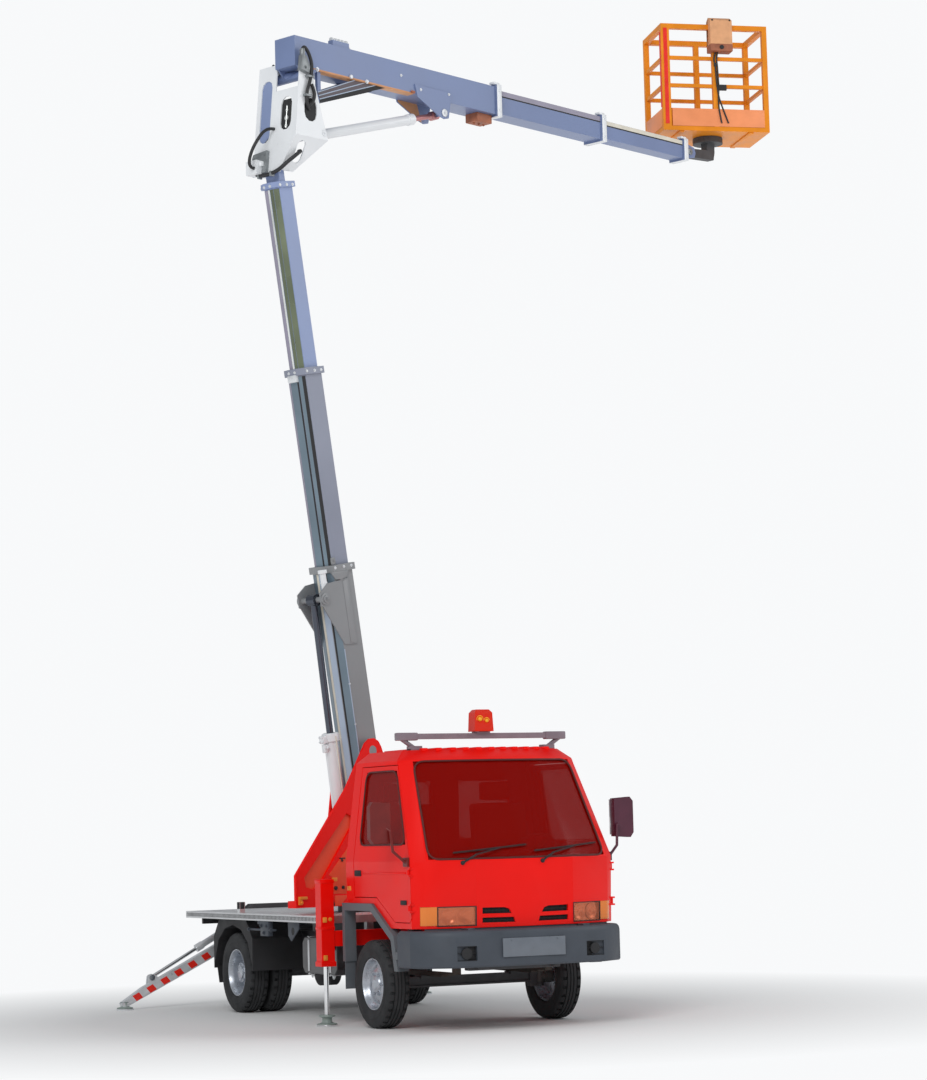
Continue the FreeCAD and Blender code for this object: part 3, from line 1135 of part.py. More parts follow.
def jib():
    """Base with hinge tube, cylinder bracket and braces, then two sliding sections."""
    pieces = jib_section("JibBase", 0, -size.jib_rear, size.jib_head_1)
    low = size.jib_rise - size.jib_depth / 2
    half = size.jib_width / 2
    tube_start = -size.elbow_near + size.elbow_plate + size.jib_offset + 6
    tube_end = size.elbow_far + size.jib_offset - 6
    pieces += [rod("HingeTube", 45, (0, tube_start, 0), (0, 1, 0), tube_end - tube_start)]
    for side in (1, -1):
        start = half - 14 if side > 0 else -half
        pieces.append(plate("HingeCheek%d" % side, "XZ", -start - 14, 14,
                            [(-110, low + 2), (-44, -20), (0, -45), (44, -20), (150, low + 2)]))
        start = half if side > 0 else -half - 12
        eye_x, eye_z = size.jib_eye_out, -size.jib_eye_down
        pieces.append(plate("EyePlate%d" % side, "XZ", -start - 12, 12,
                            [(1344, low + 90), (1380, low - 20), (eye_x - 60, eye_z - 40),
                             (eye_x, eye_z - 55), (eye_x + 60, eye_z - 40), (1834, low + 90)]))
        foot_x, foot_z = 150, -215
        pieces.append(plate("Brace%d" % side, "XZ", -side * 85 - 15, 30,
                            [(foot_x, foot_z), (foot_x + 24, foot_z - 9),
                             (foot_x + 850, low + 2), (foot_x + 460, low + 2),
                             (foot_x, foot_z + 80)]))
        pieces.append(box("BraceTie%d" % side, (foot_x, side * 85 - 15, foot_z + 4),
                          (40, 30, low - foot_z - 2)))
        pieces.append(rod("JibEyePin%d" % side, 20,
                          (eye_x, side * (JIB_EYES[1] / 2 + size.open_gap), eye_z), (0, side, 0),
                          half + 12 - JIB_EYES[1] / 2 - size.open_gap))
    pieces += [box("UnderBlock", (2240, -70, low - 78), (190, 140, 80)),
               box("TopFitting", (340, -half + 10, low + size.jib_depth - 1), (200, 60, 50)),
               plate("JibRearPlate", "YZ", -size.jib_rear - 8, 10, jib_outline(0))]
    bore = rod("HingeBore", 24 + size.pin_gap, (0, -200, 0), (0, 1, 0), 600)
    keep("jib_base", moved("JibBasePlaced", cut("JibBase", fuse("JibBaseSolid", pieces), [bore]),
                           JIB))
    middle = jib_section("JibMiddle", 1, size.jib_tail_2, size.jib_head_2)
    keep("jib_middle", moved("JibMiddlePlaced", fuse("JibMiddle", middle), JIB))
    tip = jib_section("JibTip", 2, size.jib_tail_3, size.jib_head_3)
    end, mid = BASKET_PIN, size.jib_rise
    tip.append(plate("TipWall", "YZ", size.jib_head_3 + 30, 14, jib_outline(2 * size.jib_step)))
    for side in (1, -1):
        start = 48 if side > 0 else -62
        tip.append(plate("TipCheek%d" % side, "XZ", -start - 14, 14,
                         [(size.jib_head_3 + 30, mid - 80), (end + 30, mid - 50),
                          (end + 50, mid), (end + 30, mid + 50),
                          (size.jib_head_3 + 30, mid + 80)]))
    tip.append(rod("BasketPin", 20, (end, -62, mid), (0, 1, 0), 124))
    keep("jib_tip", moved("JibTipPlaced", fuse("JibTip", tip), JIB))


def jib_cylinder():
    foot = (size.jib_foot_out - size.jib_pin_out, size.jib_foot_up - size.jib_pin_up)
    barrel, stick = cylinder("JibRam", JIB, foot, (size.jib_eye_out, -size.jib_eye_down),
                             size.jib_barrel_length, size.jib_barrel_radius, size.jib_rod_radius,
                             650, 46, (22, 20), JIB_EYES)
    keep("jib_barrel", barrel)
    keep("jib_rod", stick)


# ---------------------------------------------------------------- basket
def basket_bracket():
    """An arm from the jib's end pin to the disc under the basket."""
    end, mid = BASKET_PIN, size.jib_rise
    swivel = end + size.swivel_out
    disc = size.basket_floor
    pieces = [rod("BracketEye", 45, (end, -40, mid), (0, 1, 0), 80),
              plate("BracketArm", "XZ", -40, 80,
                    [(end, mid - 44), (swivel + 40, mid - 20), (swivel + 60, mid + 60),
                     (swivel + 60, disc - 50), (swivel - 60, disc - 50), (swivel - 60, mid + 70),
                     (end, mid + 44)]),
              rod("SwivelDisc", 150, (swivel, 0, disc - 60), (0, 0, 1), 60 - size.pin_gap),
              rod("SwivelPin", 40, (swivel, 0, disc - 40), (0, 0, 1), 80)]
    bore = rod("BracketBore", 20 + size.pin_gap, (end, -60, mid), (0, 1, 0), 120)
    keep("basket_bracket", moved("BasketBracket", cut("BracketCut", fuse("BracketSolid", pieces),
                                                      [bore]), JIB))


def basket():
    """A tubular work basket with a floor, toe boards, two rails below the top rail and a box."""
    length, width, height = size.basket_length, size.basket_width, size.basket_height
    tube = size.basket_tube
    x, y = length / 2, width / 2
    floor = cut("BasketFloor", box("FloorPlate", (-x, -y, 0), (length, width, 44)),
                [rod("FloorBore", 40 + size.pin_gap, (0, 0, -10), (0, 0, 1), 90)])
    pieces = [floor]
    posts = [(-x, -y, 85), (x - tube, -y, tube), (-x, y - tube, tube), (x - tube, y - tube, tube),
             (-tube / 2, -y, tube), (-tube / 2, y - tube, tube)]
    for number, (px, py, wide) in enumerate(posts):
        pieces.append(box("Post%d" % number, (px, py, 40), (wide, tube, height - 40)))
    for level, deep in ((height - tube, tube), (720, 36), (440, 36)):
        side = (tube - 30) / 2 if deep < tube else 0
        wide = tube - 2 * side
        for number, py in enumerate((-y + side, y - side - wide)):
            pieces.append(box("RailX%d%d" % (level, number), (-x + side, py, level),
                              (length - 2 * side, wide, deep)))
        for number, px in enumerate((-x + side, x - side - wide)):
            pieces.append(box("RailY%d%d" % (level, number), (px, -y + side, level),
                              (wide, width - 2 * side, deep)))
    for number, (px, py, lx, ly) in enumerate(((-x + 20, -y + 22, length - 40, 6),
                                              (-x + 20, y - 28, length - 40, 6),
                                              (-x + 22, -y + 20, 6, width - 40),
                                              (x - 28, -y + 20, 6, width - 40))):
        pieces.append(box("ToeBoard%d" % number, (px, py, 40), (lx, ly, 190)))
    pose = JIB.multiply(Placement(Vector(BASKET_PIN + size.swivel_out, 0,
                                         size.basket_floor),
                                  Rotation(Z_AXIS, size.basket_yaw)))
    keep("basket", moved("BasketPlaced", fuse("Basket", pieces), pose))
    console = side_prism("Console", [(-y - 70, 800), (-y + 60, 800), (-y + 60, 1120),
                                     (-y, 1150), (-y - 70, 1110)], -60, 170)
    rail_gap = box("ConsoleRailGap", (-100, -y, height - tube), (400, tube, tube))
    post_gap = box("ConsolePostGap", (-100, -y, 0), (100 + tube / 2, tube, height))
    keep("control_box", moved("ControlBox", cut("ConsoleCut", console, [rail_gap, post_gap]),
                              pose))


# ---------------------------------------------------------------- rear legs
def rear_legs():
    """Beams that swing down behind the deck, each with a cylinder above it."""
    hx, hz, plane = size.rear_hinge_x, size.rear_hinge_z, size.rear_leg_y
    foot_z = 62
    run, drop = size.rear_foot_x - hx, hz - foot_z
    reach = math.hypot(run, drop)
    angle = math.degrees(math.atan2(drop, run))
    half, deep = size.rear_leg_width / 2, size.rear_leg_depth / 2
    lug, rise = size.rear_lug_reach, size.rear_lug_rise
    turn = math.radians(angle)
    lug_x = hx + lug * math.cos(turn) + rise * math.sin(turn)
    lug_z = hz - lug * math.sin(turn) + rise * math.cos(turn)
    beam = plate("LegBeamForm", "XZ", -half, 2 * half,
                 [(-40, -deep), (reach - 30, -deep + 14), (reach + 40, -deep + 26),
                  (reach + 40, deep - 26), (reach - 200, deep), (-40, deep)])
    lugs = [plate("LegLug%d" % side, "XZ", 18 if side < 0 else -30, 12,
                  [(lug - 70, deep - 10), (lug + 70, deep - 10), (lug + 24, rise + 24),
                   (lug - 24, rise + 24)]) for side in (1, -1)]
    pin_start = LEG_EYES[1] / 2 + size.open_gap
    lug_pins = [rod("LugPin%d" % side, 12, (lug, side * pin_start, rise), (0, side, 0),
                    40 - pin_start) for side in (1, -1)]
    eye = rod("LegEye", deep + 6, (0, -half, 0), (0, 1, 0), 2 * half)
    arm = fuse("LegArm", [beam, eye] + lug_pins + lugs)
    swing = Placement(Vector(hx, plane, hz), Rotation(Y_AXIS, angle))
    placed = moved("LegArmPlaced", arm, swing)
    foot = turned("LegFoot", [(0, 0), (78, 0), (78, 12), (44, 24), (30, 56), (0, 70)])
    foot.Placement = Placement(Vector(size.rear_foot_x, plane, 0), Rotation())
    bore = rod("LegBoreTool", 22 + size.pin_gap, (hx, plane - 100, hz), (0, 1, 0), 200)
    left = cut("RearLegLeft", fuse("RearLegSolid", [placed, foot]), [bore])
    keep("rear_leg_left", left)
    keep("rear_leg_right", mirrored("RearLegRight", left))
    flat = Placement(Vector(0, plane, 0), Rotation())
    barrel, stick = cylinder("LegRam", flat, (size.rear_barrel_x, size.rear_barrel_z),
                             (lug_x, lug_z), 690, 30, 16, 560, 26, (14, 12), LEG_EYES)
    keep("rear_barrel_left", barrel)
    keep("rear_rod_left", stick)
    keep("rear_barrel_right", mirrored("RearBarrelRight", barrel))
    keep("rear_rod_right", mirrored("RearRodRight", stick))


# ---------------------------------------------------------------- build, check, export
chassis_frame()
rear_leg_frame()
front_leg_frame()
front_axle()
rear_axle()
leaf_springs()
driveline()
fuel_tank()
rear_mudguards()
deck()
wheels()
stub_axles()
cab()
cab_fittings()
mirrors()
turret()
boom()
lift_cylinder()
elbow()
jib()
jib_cylinder()
basket_bracket()
basket()
front_leg("front_leg_left", 1)
front_leg("front_leg_right", -1)
rear_legs()
document.recompute()

for item in document.Objects:
    if "Invalid" in item.State or "Error" in item.State:
        raise RuntimeError("%s did not compute: %s" % (item.Name, item.State))
os.makedirs("parts", exist_ok=True)
for node, item in SUBPARTS.items():
    if item.Shape.isNull() or not item.Shape.isValid():
        raise RuntimeError("%s has no sound shape" % node)
    if not item.Shape.Solids:
        raise RuntimeError("%s has no solid" % node)
for node, item in SUBPARTS.items():
    item.Shape.exportStep("parts/%s.step" % node)
    bounds = item.Shape.BoundBox
    print("%-22s %2d solids %9.1f cm3 z %6.0f..%6.0f" % (node, len(item.Shape.Solids),
                                                       item.Shape.Volume / 1000, bounds.ZMin,
                                                       bounds.ZMax))
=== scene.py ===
# %% [markdown]
# # A cherry picker truck
# The machine is a light truck with a turret behind its cab. A steep telescopic boom stands on the
# turret, a white elbow sits on the boom, and a level telescopic jib carries a work basket.
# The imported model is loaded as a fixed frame. Everything below is dressed around it.

# %% Load the frame
import json
import math

import bmesh
import bpy
from mathutils import Matrix, Vector


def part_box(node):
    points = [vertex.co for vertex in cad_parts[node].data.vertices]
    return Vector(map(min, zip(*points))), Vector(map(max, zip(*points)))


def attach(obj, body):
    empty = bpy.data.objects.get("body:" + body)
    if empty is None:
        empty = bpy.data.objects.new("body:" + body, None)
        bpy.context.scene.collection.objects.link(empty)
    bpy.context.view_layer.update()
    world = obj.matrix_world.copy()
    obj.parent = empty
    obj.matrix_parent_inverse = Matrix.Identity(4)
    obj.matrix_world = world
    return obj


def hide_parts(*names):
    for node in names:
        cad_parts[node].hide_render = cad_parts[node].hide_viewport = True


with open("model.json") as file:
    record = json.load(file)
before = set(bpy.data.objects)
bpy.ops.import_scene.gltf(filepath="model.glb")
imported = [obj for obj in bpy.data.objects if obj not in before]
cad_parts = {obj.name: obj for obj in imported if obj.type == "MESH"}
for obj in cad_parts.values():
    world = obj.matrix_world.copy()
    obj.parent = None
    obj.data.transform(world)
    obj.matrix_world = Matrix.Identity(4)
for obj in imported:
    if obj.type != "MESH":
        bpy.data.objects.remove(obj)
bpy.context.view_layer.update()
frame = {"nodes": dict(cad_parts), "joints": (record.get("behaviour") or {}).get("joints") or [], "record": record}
nodes = frame["nodes"]
print("loaded", len(nodes), "nodes")

# %% [markdown]
# ## Places taken from the joints
# Each moving body turns or slides about a joint whose place is known. Six local frames are built
# from them: truck, turret, boom, elbow, jib and basket. A piece is then modelled in plain, upright
# numbers and laid into its frame in one step.

# %% Local frames
JOINTS = {joint["name"]: joint for joint in frame["joints"]}


def joint_place(name):
    """Where a joint turns or slides, in metres."""
    return Vector(JOINTS[name]["pos_m"])


def joint_axis(name):
    """The unit direction a joint turns about or slides along."""
    return Vector(JOINTS[name]["axis"]).normalized()


def frame_matrix(origin, x_axis, y_axis, z_axis):
    """A local frame: three axes and where they start, as one matrix."""
    matrix = Matrix((x_axis, y_axis, z_axis)).transposed().to_4x4()
    matrix.translation = origin
    return matrix


SIDES = ((1, "left"), (-1, "right"))
UP = Vector((0, 0, 1))
JIB_WAY = joint_axis("jib_middle_slide")
ACROSS = joint_axis("boom_luff")
BOOM_WAY = joint_axis("boom_middle_slide")
TRUCK = Matrix.Identity(4)
TURRET = frame_matrix(Vector((0, 0, 0)), JIB_WAY, ACROSS, UP)
BOOM = frame_matrix(joint_place("boom_luff"), ACROSS.cross(BOOM_WAY), ACROSS, BOOM_WAY)
ELBOW = frame_matrix(joint_place("elbow_level"), JIB_WAY, ACROSS, UP)
JIB = frame_matrix(joint_place("jib_raise"), JIB_WAY, ACROSS, UP)
BASKET_TURN = Matrix.Rotation(math.radians(22 - 35.6), 4, "Z")
BASKET = Matrix.Translation(joint_place("basket_swivel")) @ BASKET_TURN
print("boom pivot", BOOM.translation, "elbow", ELBOW.translation)

# %% [markdown]
# ## The camera
# The machine is seen from its front right corner, from standing height and far away through a
# long lens, so upright lines stay nearly parallel. The camera looks up by five degrees and leans a
# little, as a hand-held one does.

# %% Camera
scene = bpy.context.scene
camera_data = bpy.data.cameras.new("camera")
camera_data.sensor_fit = "HORIZONTAL"
camera_data.sensor_width = 36
camera_data.lens = 112.89
camera_data.shift_x = 0.0003
camera_data.shift_y = 0.0458
camera_data.clip_end = 400
camera = bpy.data.objects.new("camera", camera_data)
scene.collection.objects.link(camera)
heading, tilt, lean = math.radians(25.816), math.radians(4.882), math.radians(-1.504)
ahead = Vector((math.sin(heading) * math.cos(tilt), math.cos(heading) * math.cos(tilt),
                math.sin(tilt)))
level_right = Vector((math.cos(heading), -math.sin(heading), 0))
level_up = level_right.cross(ahead)
right = level_right * math.cos(lean) + level_up * math.sin(lean)
up = level_up * math.cos(lean) - level_right * math.sin(lean)
camera.matrix_world = frame_matrix(Vector((-10.257, -23.099, 1.545)), right, up, -ahead)
scene.camera = camera
scene.view_settings.view_transform = "Standard"
print("camera lens", camera_data.lens)

# %% [markdown]
# ## The free hose
# One rubber hose arches round the elbow's levelling pin and brings oil up from the boom. It starts
# and ends in a fitting on the elbow, with slack for the joint to turn. Its control points are
# those of the rigid model, in millimetres in the elbow's frame.

# %% Hose
HOSE_RADIUS = 0.014
LOW_HOSE = ((-150, 90, -10), (-205, 90, -10), (-230, 60, 70), (-205, 10, 190), (-110, -30, 330),
            (-17.5, -30, 330))
hose_line = bpy.data.curves.new("low_hose", "CURVE")
hose_line.dimensions = "3D"
hose_line.bevel_depth = HOSE_RADIUS
hose_line.bevel_resolution = 5
hose_line.resolution_u = 24
hose_line.use_fill_caps = True
route = hose_line.splines.new("NURBS")
route.points.add(len(LOW_HOSE) - 1)
for control, point in zip(route.points, LOW_HOSE):
    control.co = (*(ELBOW @ (Vector(point) / 1000)), 1)
route.order_u = 3
route.use_endpoint_u = True
low_hose = bpy.data.objects.new("low_hose", hose_line)
scene.collection.objects.link(low_hose)
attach(low_hose, "elbow")
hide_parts("elbow_hoses")

# %% [markdown]
# ## The floor
# A pale floor and a pale sky keep the attention on the machine. The floor takes the machine's soft
# shadow and fades into the colour of the sky further out, so no horizon shows.

# %% Floor
FLOOR_HALF = 120
FADE_START, FADE_END = 2.4, 6.5
FLOOR_WHITE, SKY_WHITE = (0.90, 0.90, 0.89, 1), (0.94, 0.95, 0.96, 1)
floor_mesh = bpy.data.meshes.new("floor")
bm = bmesh.new()
bmesh.ops.create_grid(bm, x_segments=2, y_segments=2, size=FLOOR_HALF)
bm.to_mesh(floor_mesh)
bm.free()
floor = bpy.data.objects.new("floor", floor_mesh)
scene.collection.objects.link(floor)
floor_paint = bpy.data.materials.new("pale_floor")
floor_paint.use_nodes = True
floor_shader = floor_paint.node_tree.nodes["Principled BSDF"]
floor_shader.inputs["Base Color"].default_value = FLOOR_WHITE
floor_shader.inputs["Roughness"].default_value = 0.9
floor_tree = floor_paint.node_tree
floor_place = floor_tree.nodes.new("ShaderNodeTexCoord")
floor_reach = floor_tree.nodes.new("ShaderNodeVectorMath")
floor_reach.operation = "LENGTH"
floor_fade = floor_tree.nodes.new("ShaderNodeMapRange")
floor_fade.inputs["From Min"].default_value = FADE_START
floor_fade.inputs["From Max"].default_value = FADE_END
floor_glow = floor_tree.nodes.new("ShaderNodeEmission")
floor_glow.inputs["Color"].default_value = SKY_WHITE
floor_mix = floor_tree.nodes.new("ShaderNodeMixShader")
floor_out = floor_tree.nodes["Material Output"]
floor_tree.links.new(floor_place.outputs["Object"], floor_reach.inputs[0])
floor_tree.links.new(floor_reach.outputs["Value"], floor_fade.inputs["Value"])
floor_tree.links.new(floor_fade.outputs["Result"], floor_mix.inputs["Fac"])
floor_tree.links.new(floor_shader.outputs["BSDF"], floor_mix.inputs[1])
floor_tree.links.new(floor_glow.outputs["Emission"], floor_mix.inputs[2])
floor_tree.links.new(floor_mix.outputs["Shader"], floor_out.inputs["Surface"])
floor_mesh.materials.append(floor_paint)
print("floor", round(floor.dimensions.x), "m wide")

# %% [markdown]
# ## The sky and the lamps
# A world shader can answer each kind of ray on its own. A Light Path node tells the rays of the
# camera and of clear glass apart from those that light the machine, so the sky looks white and
# still lights softly. Two area lamps, one strong and one weak, then model the forms.

# %% World and lamps
world = bpy.data.worlds.new("sky")
scene.world = world
world.use_nodes = True
sky = world.node_tree
sky.nodes.clear()
seen = sky.nodes.new("ShaderNodeBackground")
seen.inputs["Color"].default_value = SKY_WHITE
lighting = sky.nodes.new("ShaderNodeBackground")
lighting.inputs["Color"].default_value = (0.93, 0.96, 1.0, 1)
lighting.inputs["Strength"].default_value = 0.42
rays = sky.nodes.new("ShaderNodeLightPath")
either = sky.nodes.new("ShaderNodeMath")
either.operation = "MAXIMUM"
blend = sky.nodes.new("ShaderNodeMixShader")
sky_out = sky.nodes.new("ShaderNodeOutputWorld")
sky.links.new(rays.outputs["Is Camera Ray"], either.inputs[0])
sky.links.new(rays.outputs["Is Transmission Ray"], either.inputs[1])
sky.links.new(either.outputs[0], blend.inputs[0])
sky.links.new(lighting.outputs[0], blend.inputs[1])
sky.links.new(seen.outputs[0], blend.inputs[2])
sky.links.new(blend.outputs[0], sky_out.inputs["Surface"])


def lamp(name, place, target, size, power):
    """A square soft lamp that faces a point."""
    data = bpy.data.lights.new(name, "AREA")
    data.size = size
    data.energy = power
    item = bpy.data.objects.new(name, data)
    item.location = place
    item.rotation_euler = (Vector(target) - Vector(place)).to_track_quat("-Z", "Y").to_euler()
    scene.collection.objects.link(item)


lamp("key_lamp", (-16, -20, 18), (0, 0, 3), 12, 2900)
lamp("side_lamp", (16, -10, 12), (1, 0, 4), 10, 700)
print("lamps", len(bpy.data.lights))

# %% [markdown]
# ## Building blocks for materials
# Real paint and metal are never one flat colour. Each finish below is a Principled shader with
# fine noise that shifts its colour a little, changes its gloss and gives a faint relief. The noise
# reads Object coordinates in metres, so a grain of one millimetre is one millimetre everywhere.


def finish(name, colour, roughness, metallic=0.0, coat=0.0, spread=0.06, patch=3.0, grain=400.0,
           relief=0.0, gloss_spread=0.08, dust=0.0, shine=0.5):
    """A material with colour patches, uneven gloss and a fine relief.

    spread is how far the colour wanders, patch and grain are noise scales per metre, relief is the
    depth of the grain in metres, dust is how much pale dirt lies on it, and shine is how strongly
    the surface mirrors light.
    """
    material = bpy.data.materials.new(name)
    material.use_nodes = True
    tree = material.node_tree
    shader = tree.nodes["Principled BSDF"]
    shader.inputs["Metallic"].default_value = metallic
    shader.inputs["Specular IOR Level"].default_value = shine
    if coat:
        shader.inputs["Coat Weight"].default_value = coat
        shader.inputs["Coat Roughness"].default_value = 0.12
    place = tree.nodes.new("ShaderNodeTexCoord")
    patches = tree.nodes.new("ShaderNodeTexNoise")
    patches.inputs["Scale"].default_value = patch
    patches.inputs["Detail"].default_value = 6
    tree.links.new(place.outputs["Object"], patches.inputs["Vector"])
    shades = tree.nodes.new("ShaderNodeValToRGB")
    shades.color_ramp.elements[0].position = 0.3
    shades.color_ramp.elements[1].position = 0.72
    shades.color_ramp.elements[0].color = [c * (1 - spread) for c in colour] + [1]
    shades.color_ramp.elements[1].color = [min(1, c * (1 + spread) + dust) for c in colour] + [1]
    tree.links.new(patches.outputs["Fac"], shades.inputs["Fac"])
    tree.links.new(shades.outputs["Color"], shader.inputs["Base Color"])
    gloss = tree.nodes.new("ShaderNodeMapRange")
    gloss.inputs["From Min"].default_value = 0.3
    gloss.inputs["From Max"].default_value = 0.7
    gloss.inputs["To Min"].default_value = max(0.02, roughness - gloss_spread)
    gloss.inputs["To Max"].default_value = min(1.0, roughness + gloss_spread)
    tree.links.new(patches.outputs["Fac"], gloss.inputs["Value"])
    tree.links.new(gloss.outputs["Result"], shader.inputs["Roughness"])
    if relief:
        fine = tree.nodes.new("ShaderNodeTexNoise")
        fine.inputs["Scale"].default_value = grain
        fine.inputs["Detail"].default_value = 3
        tree.links.new(place.outputs["Object"], fine.inputs["Vector"])
        bump = tree.nodes.new("ShaderNodeBump")
        bump.inputs["Distance"].default_value = relief
        bump.inputs["Strength"].default_value = 0.6
        tree.links.new(fine.outputs["Fac"], bump.inputs["Height"])
        tree.links.new(bump.outputs["Normal"], shader.inputs["Normal"])
    return material


print("finish helper ready")

# %% [markdown]
# ## The finishes of this machine
# The cab and turret wear a saturated red gloss paint with a clear coat. The booms are a cool,
# silvery lilac, the elbow and collars are white, and the basket is orange. Bumpers and mouldings
# are slate-grey moulded plastic.

# %% Finishes
red_paint = finish("red_paint", (0.95, 0.004, 0.001), 0.38, coat=0.06, spread=0.05, patch=2.0,
                   grain=900, relief=0.00006, shine=0.18)
slate_plastic = finish("slate_plastic", (0.056, 0.067, 0.085), 0.50, spread=0.10, patch=6,
                       grain=1400, relief=0.00025)
boom_paint = finish("boom_paint", (0.17, 0.225, 0.40), 0.40, coat=0.15, spread=0.10, patch=1.2,
                    grain=700, relief=0.00008)
white_paint = finish("white_paint", (0.80, 0.82, 0.84), 0.35, coat=0.3, spread=0.04, patch=3,
                     grain=800, relief=0.00006)
orange_paint = finish("orange_paint", (0.84, 0.27, 0.012), 0.42, coat=0.08, spread=0.12, patch=5,
                      grain=800, relief=0.00008, shine=0.25)
chassis_paint = finish("chassis_paint", (0.055, 0.055, 0.06), 0.6, spread=0.25, patch=7,
                       grain=500, relief=0.0003, dust=0.015)
black_paint = finish("black_paint", (0.025, 0.025, 0.03), 0.35, coat=0.2, spread=0.2, patch=9,
                     grain=800, relief=0.00008)
black_plastic = finish("black_plastic", (0.018, 0.018, 0.02), 0.65, spread=0.3, patch=9,
                       grain=1500, relief=0.0003)
rusty_steel = finish("spring_steel", (0.09, 0.075, 0.065), 0.7, metallic=0.5, spread=0.3, patch=14,
                     grain=600, relief=0.0004)
cast_iron = finish("cast_iron", (0.13, 0.125, 0.12), 0.7, metallic=0.4, spread=0.25, patch=16,
                   grain=500, relief=0.0006)
aluminium = finish("deck_aluminium", (0.66, 0.67, 0.68), 0.42, metallic=0.8, spread=0.12, patch=5,
                   grain=260, relief=0.0006)
silver_paint = finish("silver_paint", (0.72, 0.74, 0.76), 0.35, metallic=0.30, spread=0.08,
                      patch=10, grain=900, relief=0.0001)
chrome = finish("chrome_rod", (0.78, 0.79, 0.80), 0.12, metallic=1.0, spread=0.03, patch=20,
                gloss_spread=0.05)
tyre_rubber = finish("tyre_rubber", (0.020, 0.021, 0.023), 0.82, spread=0.25, patch=8, grain=900,
                     relief=0.0004, dust=0.02)
seat_cloth = finish("seat_cloth", (0.42, 0.070, 0.030), 0.9, spread=0.2, patch=30, grain=1600,
                    relief=0.0006)
hose_rubber = finish("hose_rubber", (0.02, 0.02, 0.022), 0.5, spread=0.2, patch=20, grain=1200,
                     relief=0.0002)
mauve_paint = finish("mauve_paint", (0.24, 0.185, 0.215), 0.4, spread=0.1, patch=8, grain=900,
                     relief=0.0001)
console_plastic = finish("console_plastic", (0.74, 0.37, 0.18), 0.6, spread=0.12, patch=12,
                         grain=1200, relief=0.0003)

# %% [markdown]
# ## Windows and lenses
# Window glass here is dark red and a lamp lens is clear orange. A low alpha lets the inside of the
# cab show through, and a little specular keeps the highlights of the sky. A faint noise in the
# roughness stands for dirt and wiping marks.

# %% Clear materials
def glass(name, colour, roughness, alpha, shine=0.3):
    """A window or lens: a dark or coloured clear skin with a mirror-like surface."""
    material = bpy.data.materials.new(name)
    material.use_nodes = True
    tree = material.node_tree
    shader = tree.nodes["Principled BSDF"]
    shader.inputs["Base Color"].default_value = (*colour, 1)
    shader.inputs["IOR"].default_value = 1.5
    shader.inputs["Specular IOR Level"].default_value = shine
    shader.inputs["Alpha"].default_value = alpha
    place = tree.nodes.new("ShaderNodeTexCoord")
    film = tree.nodes.new("ShaderNodeTexNoise")
    film.inputs["Scale"].default_value = 4
    tree.links.new(place.outputs["Object"], film.inputs["Vector"])
    haze = tree.nodes.new("ShaderNodeMapRange")
    haze.inputs["To Min"].default_value = roughness
    haze.inputs["To Max"].default_value = roughness + 0.06
    tree.links.new(film.outputs["Fac"], haze.inputs["Value"])
    tree.links.new(haze.outputs["Result"], shader.inputs["Roughness"])
    return material


tinted_glass = glass("tinted_glass", (0.30, 0.003, 0.001), 0.03, 0.66, 0.12)
lamp_glass = glass("lamp_glass", (0.70, 0.19, 0.09), 0.08, 0.42)
beacon_glass = glass("beacon_plastic", (0.80, 0.022, 0.002), 0.12, 0.90)
print("clear materials", tinted_glass.name, lamp_glass.name, beacon_glass.name)

# %% [markdown]
# ## Which node wears what
# The record names a material slot for each node. This table gives each slot its finish, and the
# loop puts it on the nodes, so anything that is never dressed still has a true finish.

# %% Finishes on the nodes
FINISHES = {
    "red_paint": red_paint, "chassis_grey": chassis_paint, "spring_steel": rusty_steel,
    "cast_parts": cast_iron, "tank_paint": black_paint, "black_plastic": black_plastic,
    "deck_aluminium": aluminium, "tinted_glass": tinted_glass, "seat_fabric": seat_cloth,
    "lamp_glass": lamp_glass, "grey_plastic": slate_plastic, "roof_bar_paint": mauve_paint,
    "beacon_plastic": beacon_glass, "boom_paint": boom_paint, "white_paint": white_paint,
    "chrome_rod": chrome, "hose_rubber": hose_rubber,
    "orange_paint": orange_paint, "console_plastic": console_plastic,
    "mirror_plastic": black_plastic, "tyre_rubber": tyre_rubber, "rim_paint": silver_paint,
    "leg_paint": silver_paint}
for subpart in frame["record"]["subparts"]:
    node = nodes[subpart["node"]]
    node.data.materials.clear()
    node.data.materials.append(FINISHES[subpart["material_slot"]])
hose_line.materials.append(hose_rubber)
print("finishes", len(FINISHES))

# %% [markdown]
# ## Blocks with eased edges
# Every added piece starts as a bmesh, and each helper adds one form to it. The first is a block
# between two corners. Real edges are never razor sharp, so it is bevelled as it is made.

# %% Blocks
def eased_block(bm, low, high, ease=0.003, segments=2, turn=None):
    """A box between two corners with rounded edges, turned about its own middle if asked."""
    low, high = Vector(low), Vector(high)
    middle, extent = (low + high) / 2, high - low
    made = bmesh.ops.create_cube(bm, size=1)["verts"]
    bmesh.ops.scale(bm, vec=extent, verts=made)
    if ease:
        edges = list({edge for vert in made for edge in vert.link_edges})
        bevelled = bmesh.ops.bevel(bm, geom=edges, offset=min(ease, min(extent) * 0.3),
                                   segments=segments, profile=0.5, affect="EDGES", material=-1)
        made = list({vert for face in bevelled["faces"] for vert in face.verts})
    if turn is not None:
        bmesh.ops.transform(bm, matrix=turn, verts=made)
    bmesh.ops.translate(bm, vec=middle, verts=made)
    return made


print("block helper ready")

# %% [markdown]
# ## Bars, balls and bolts
# A bar is a cone or cylinder laid between two points, and its rims can be eased. A bolt is three
# bars on one line: a washer, a six-sided head and a stud.

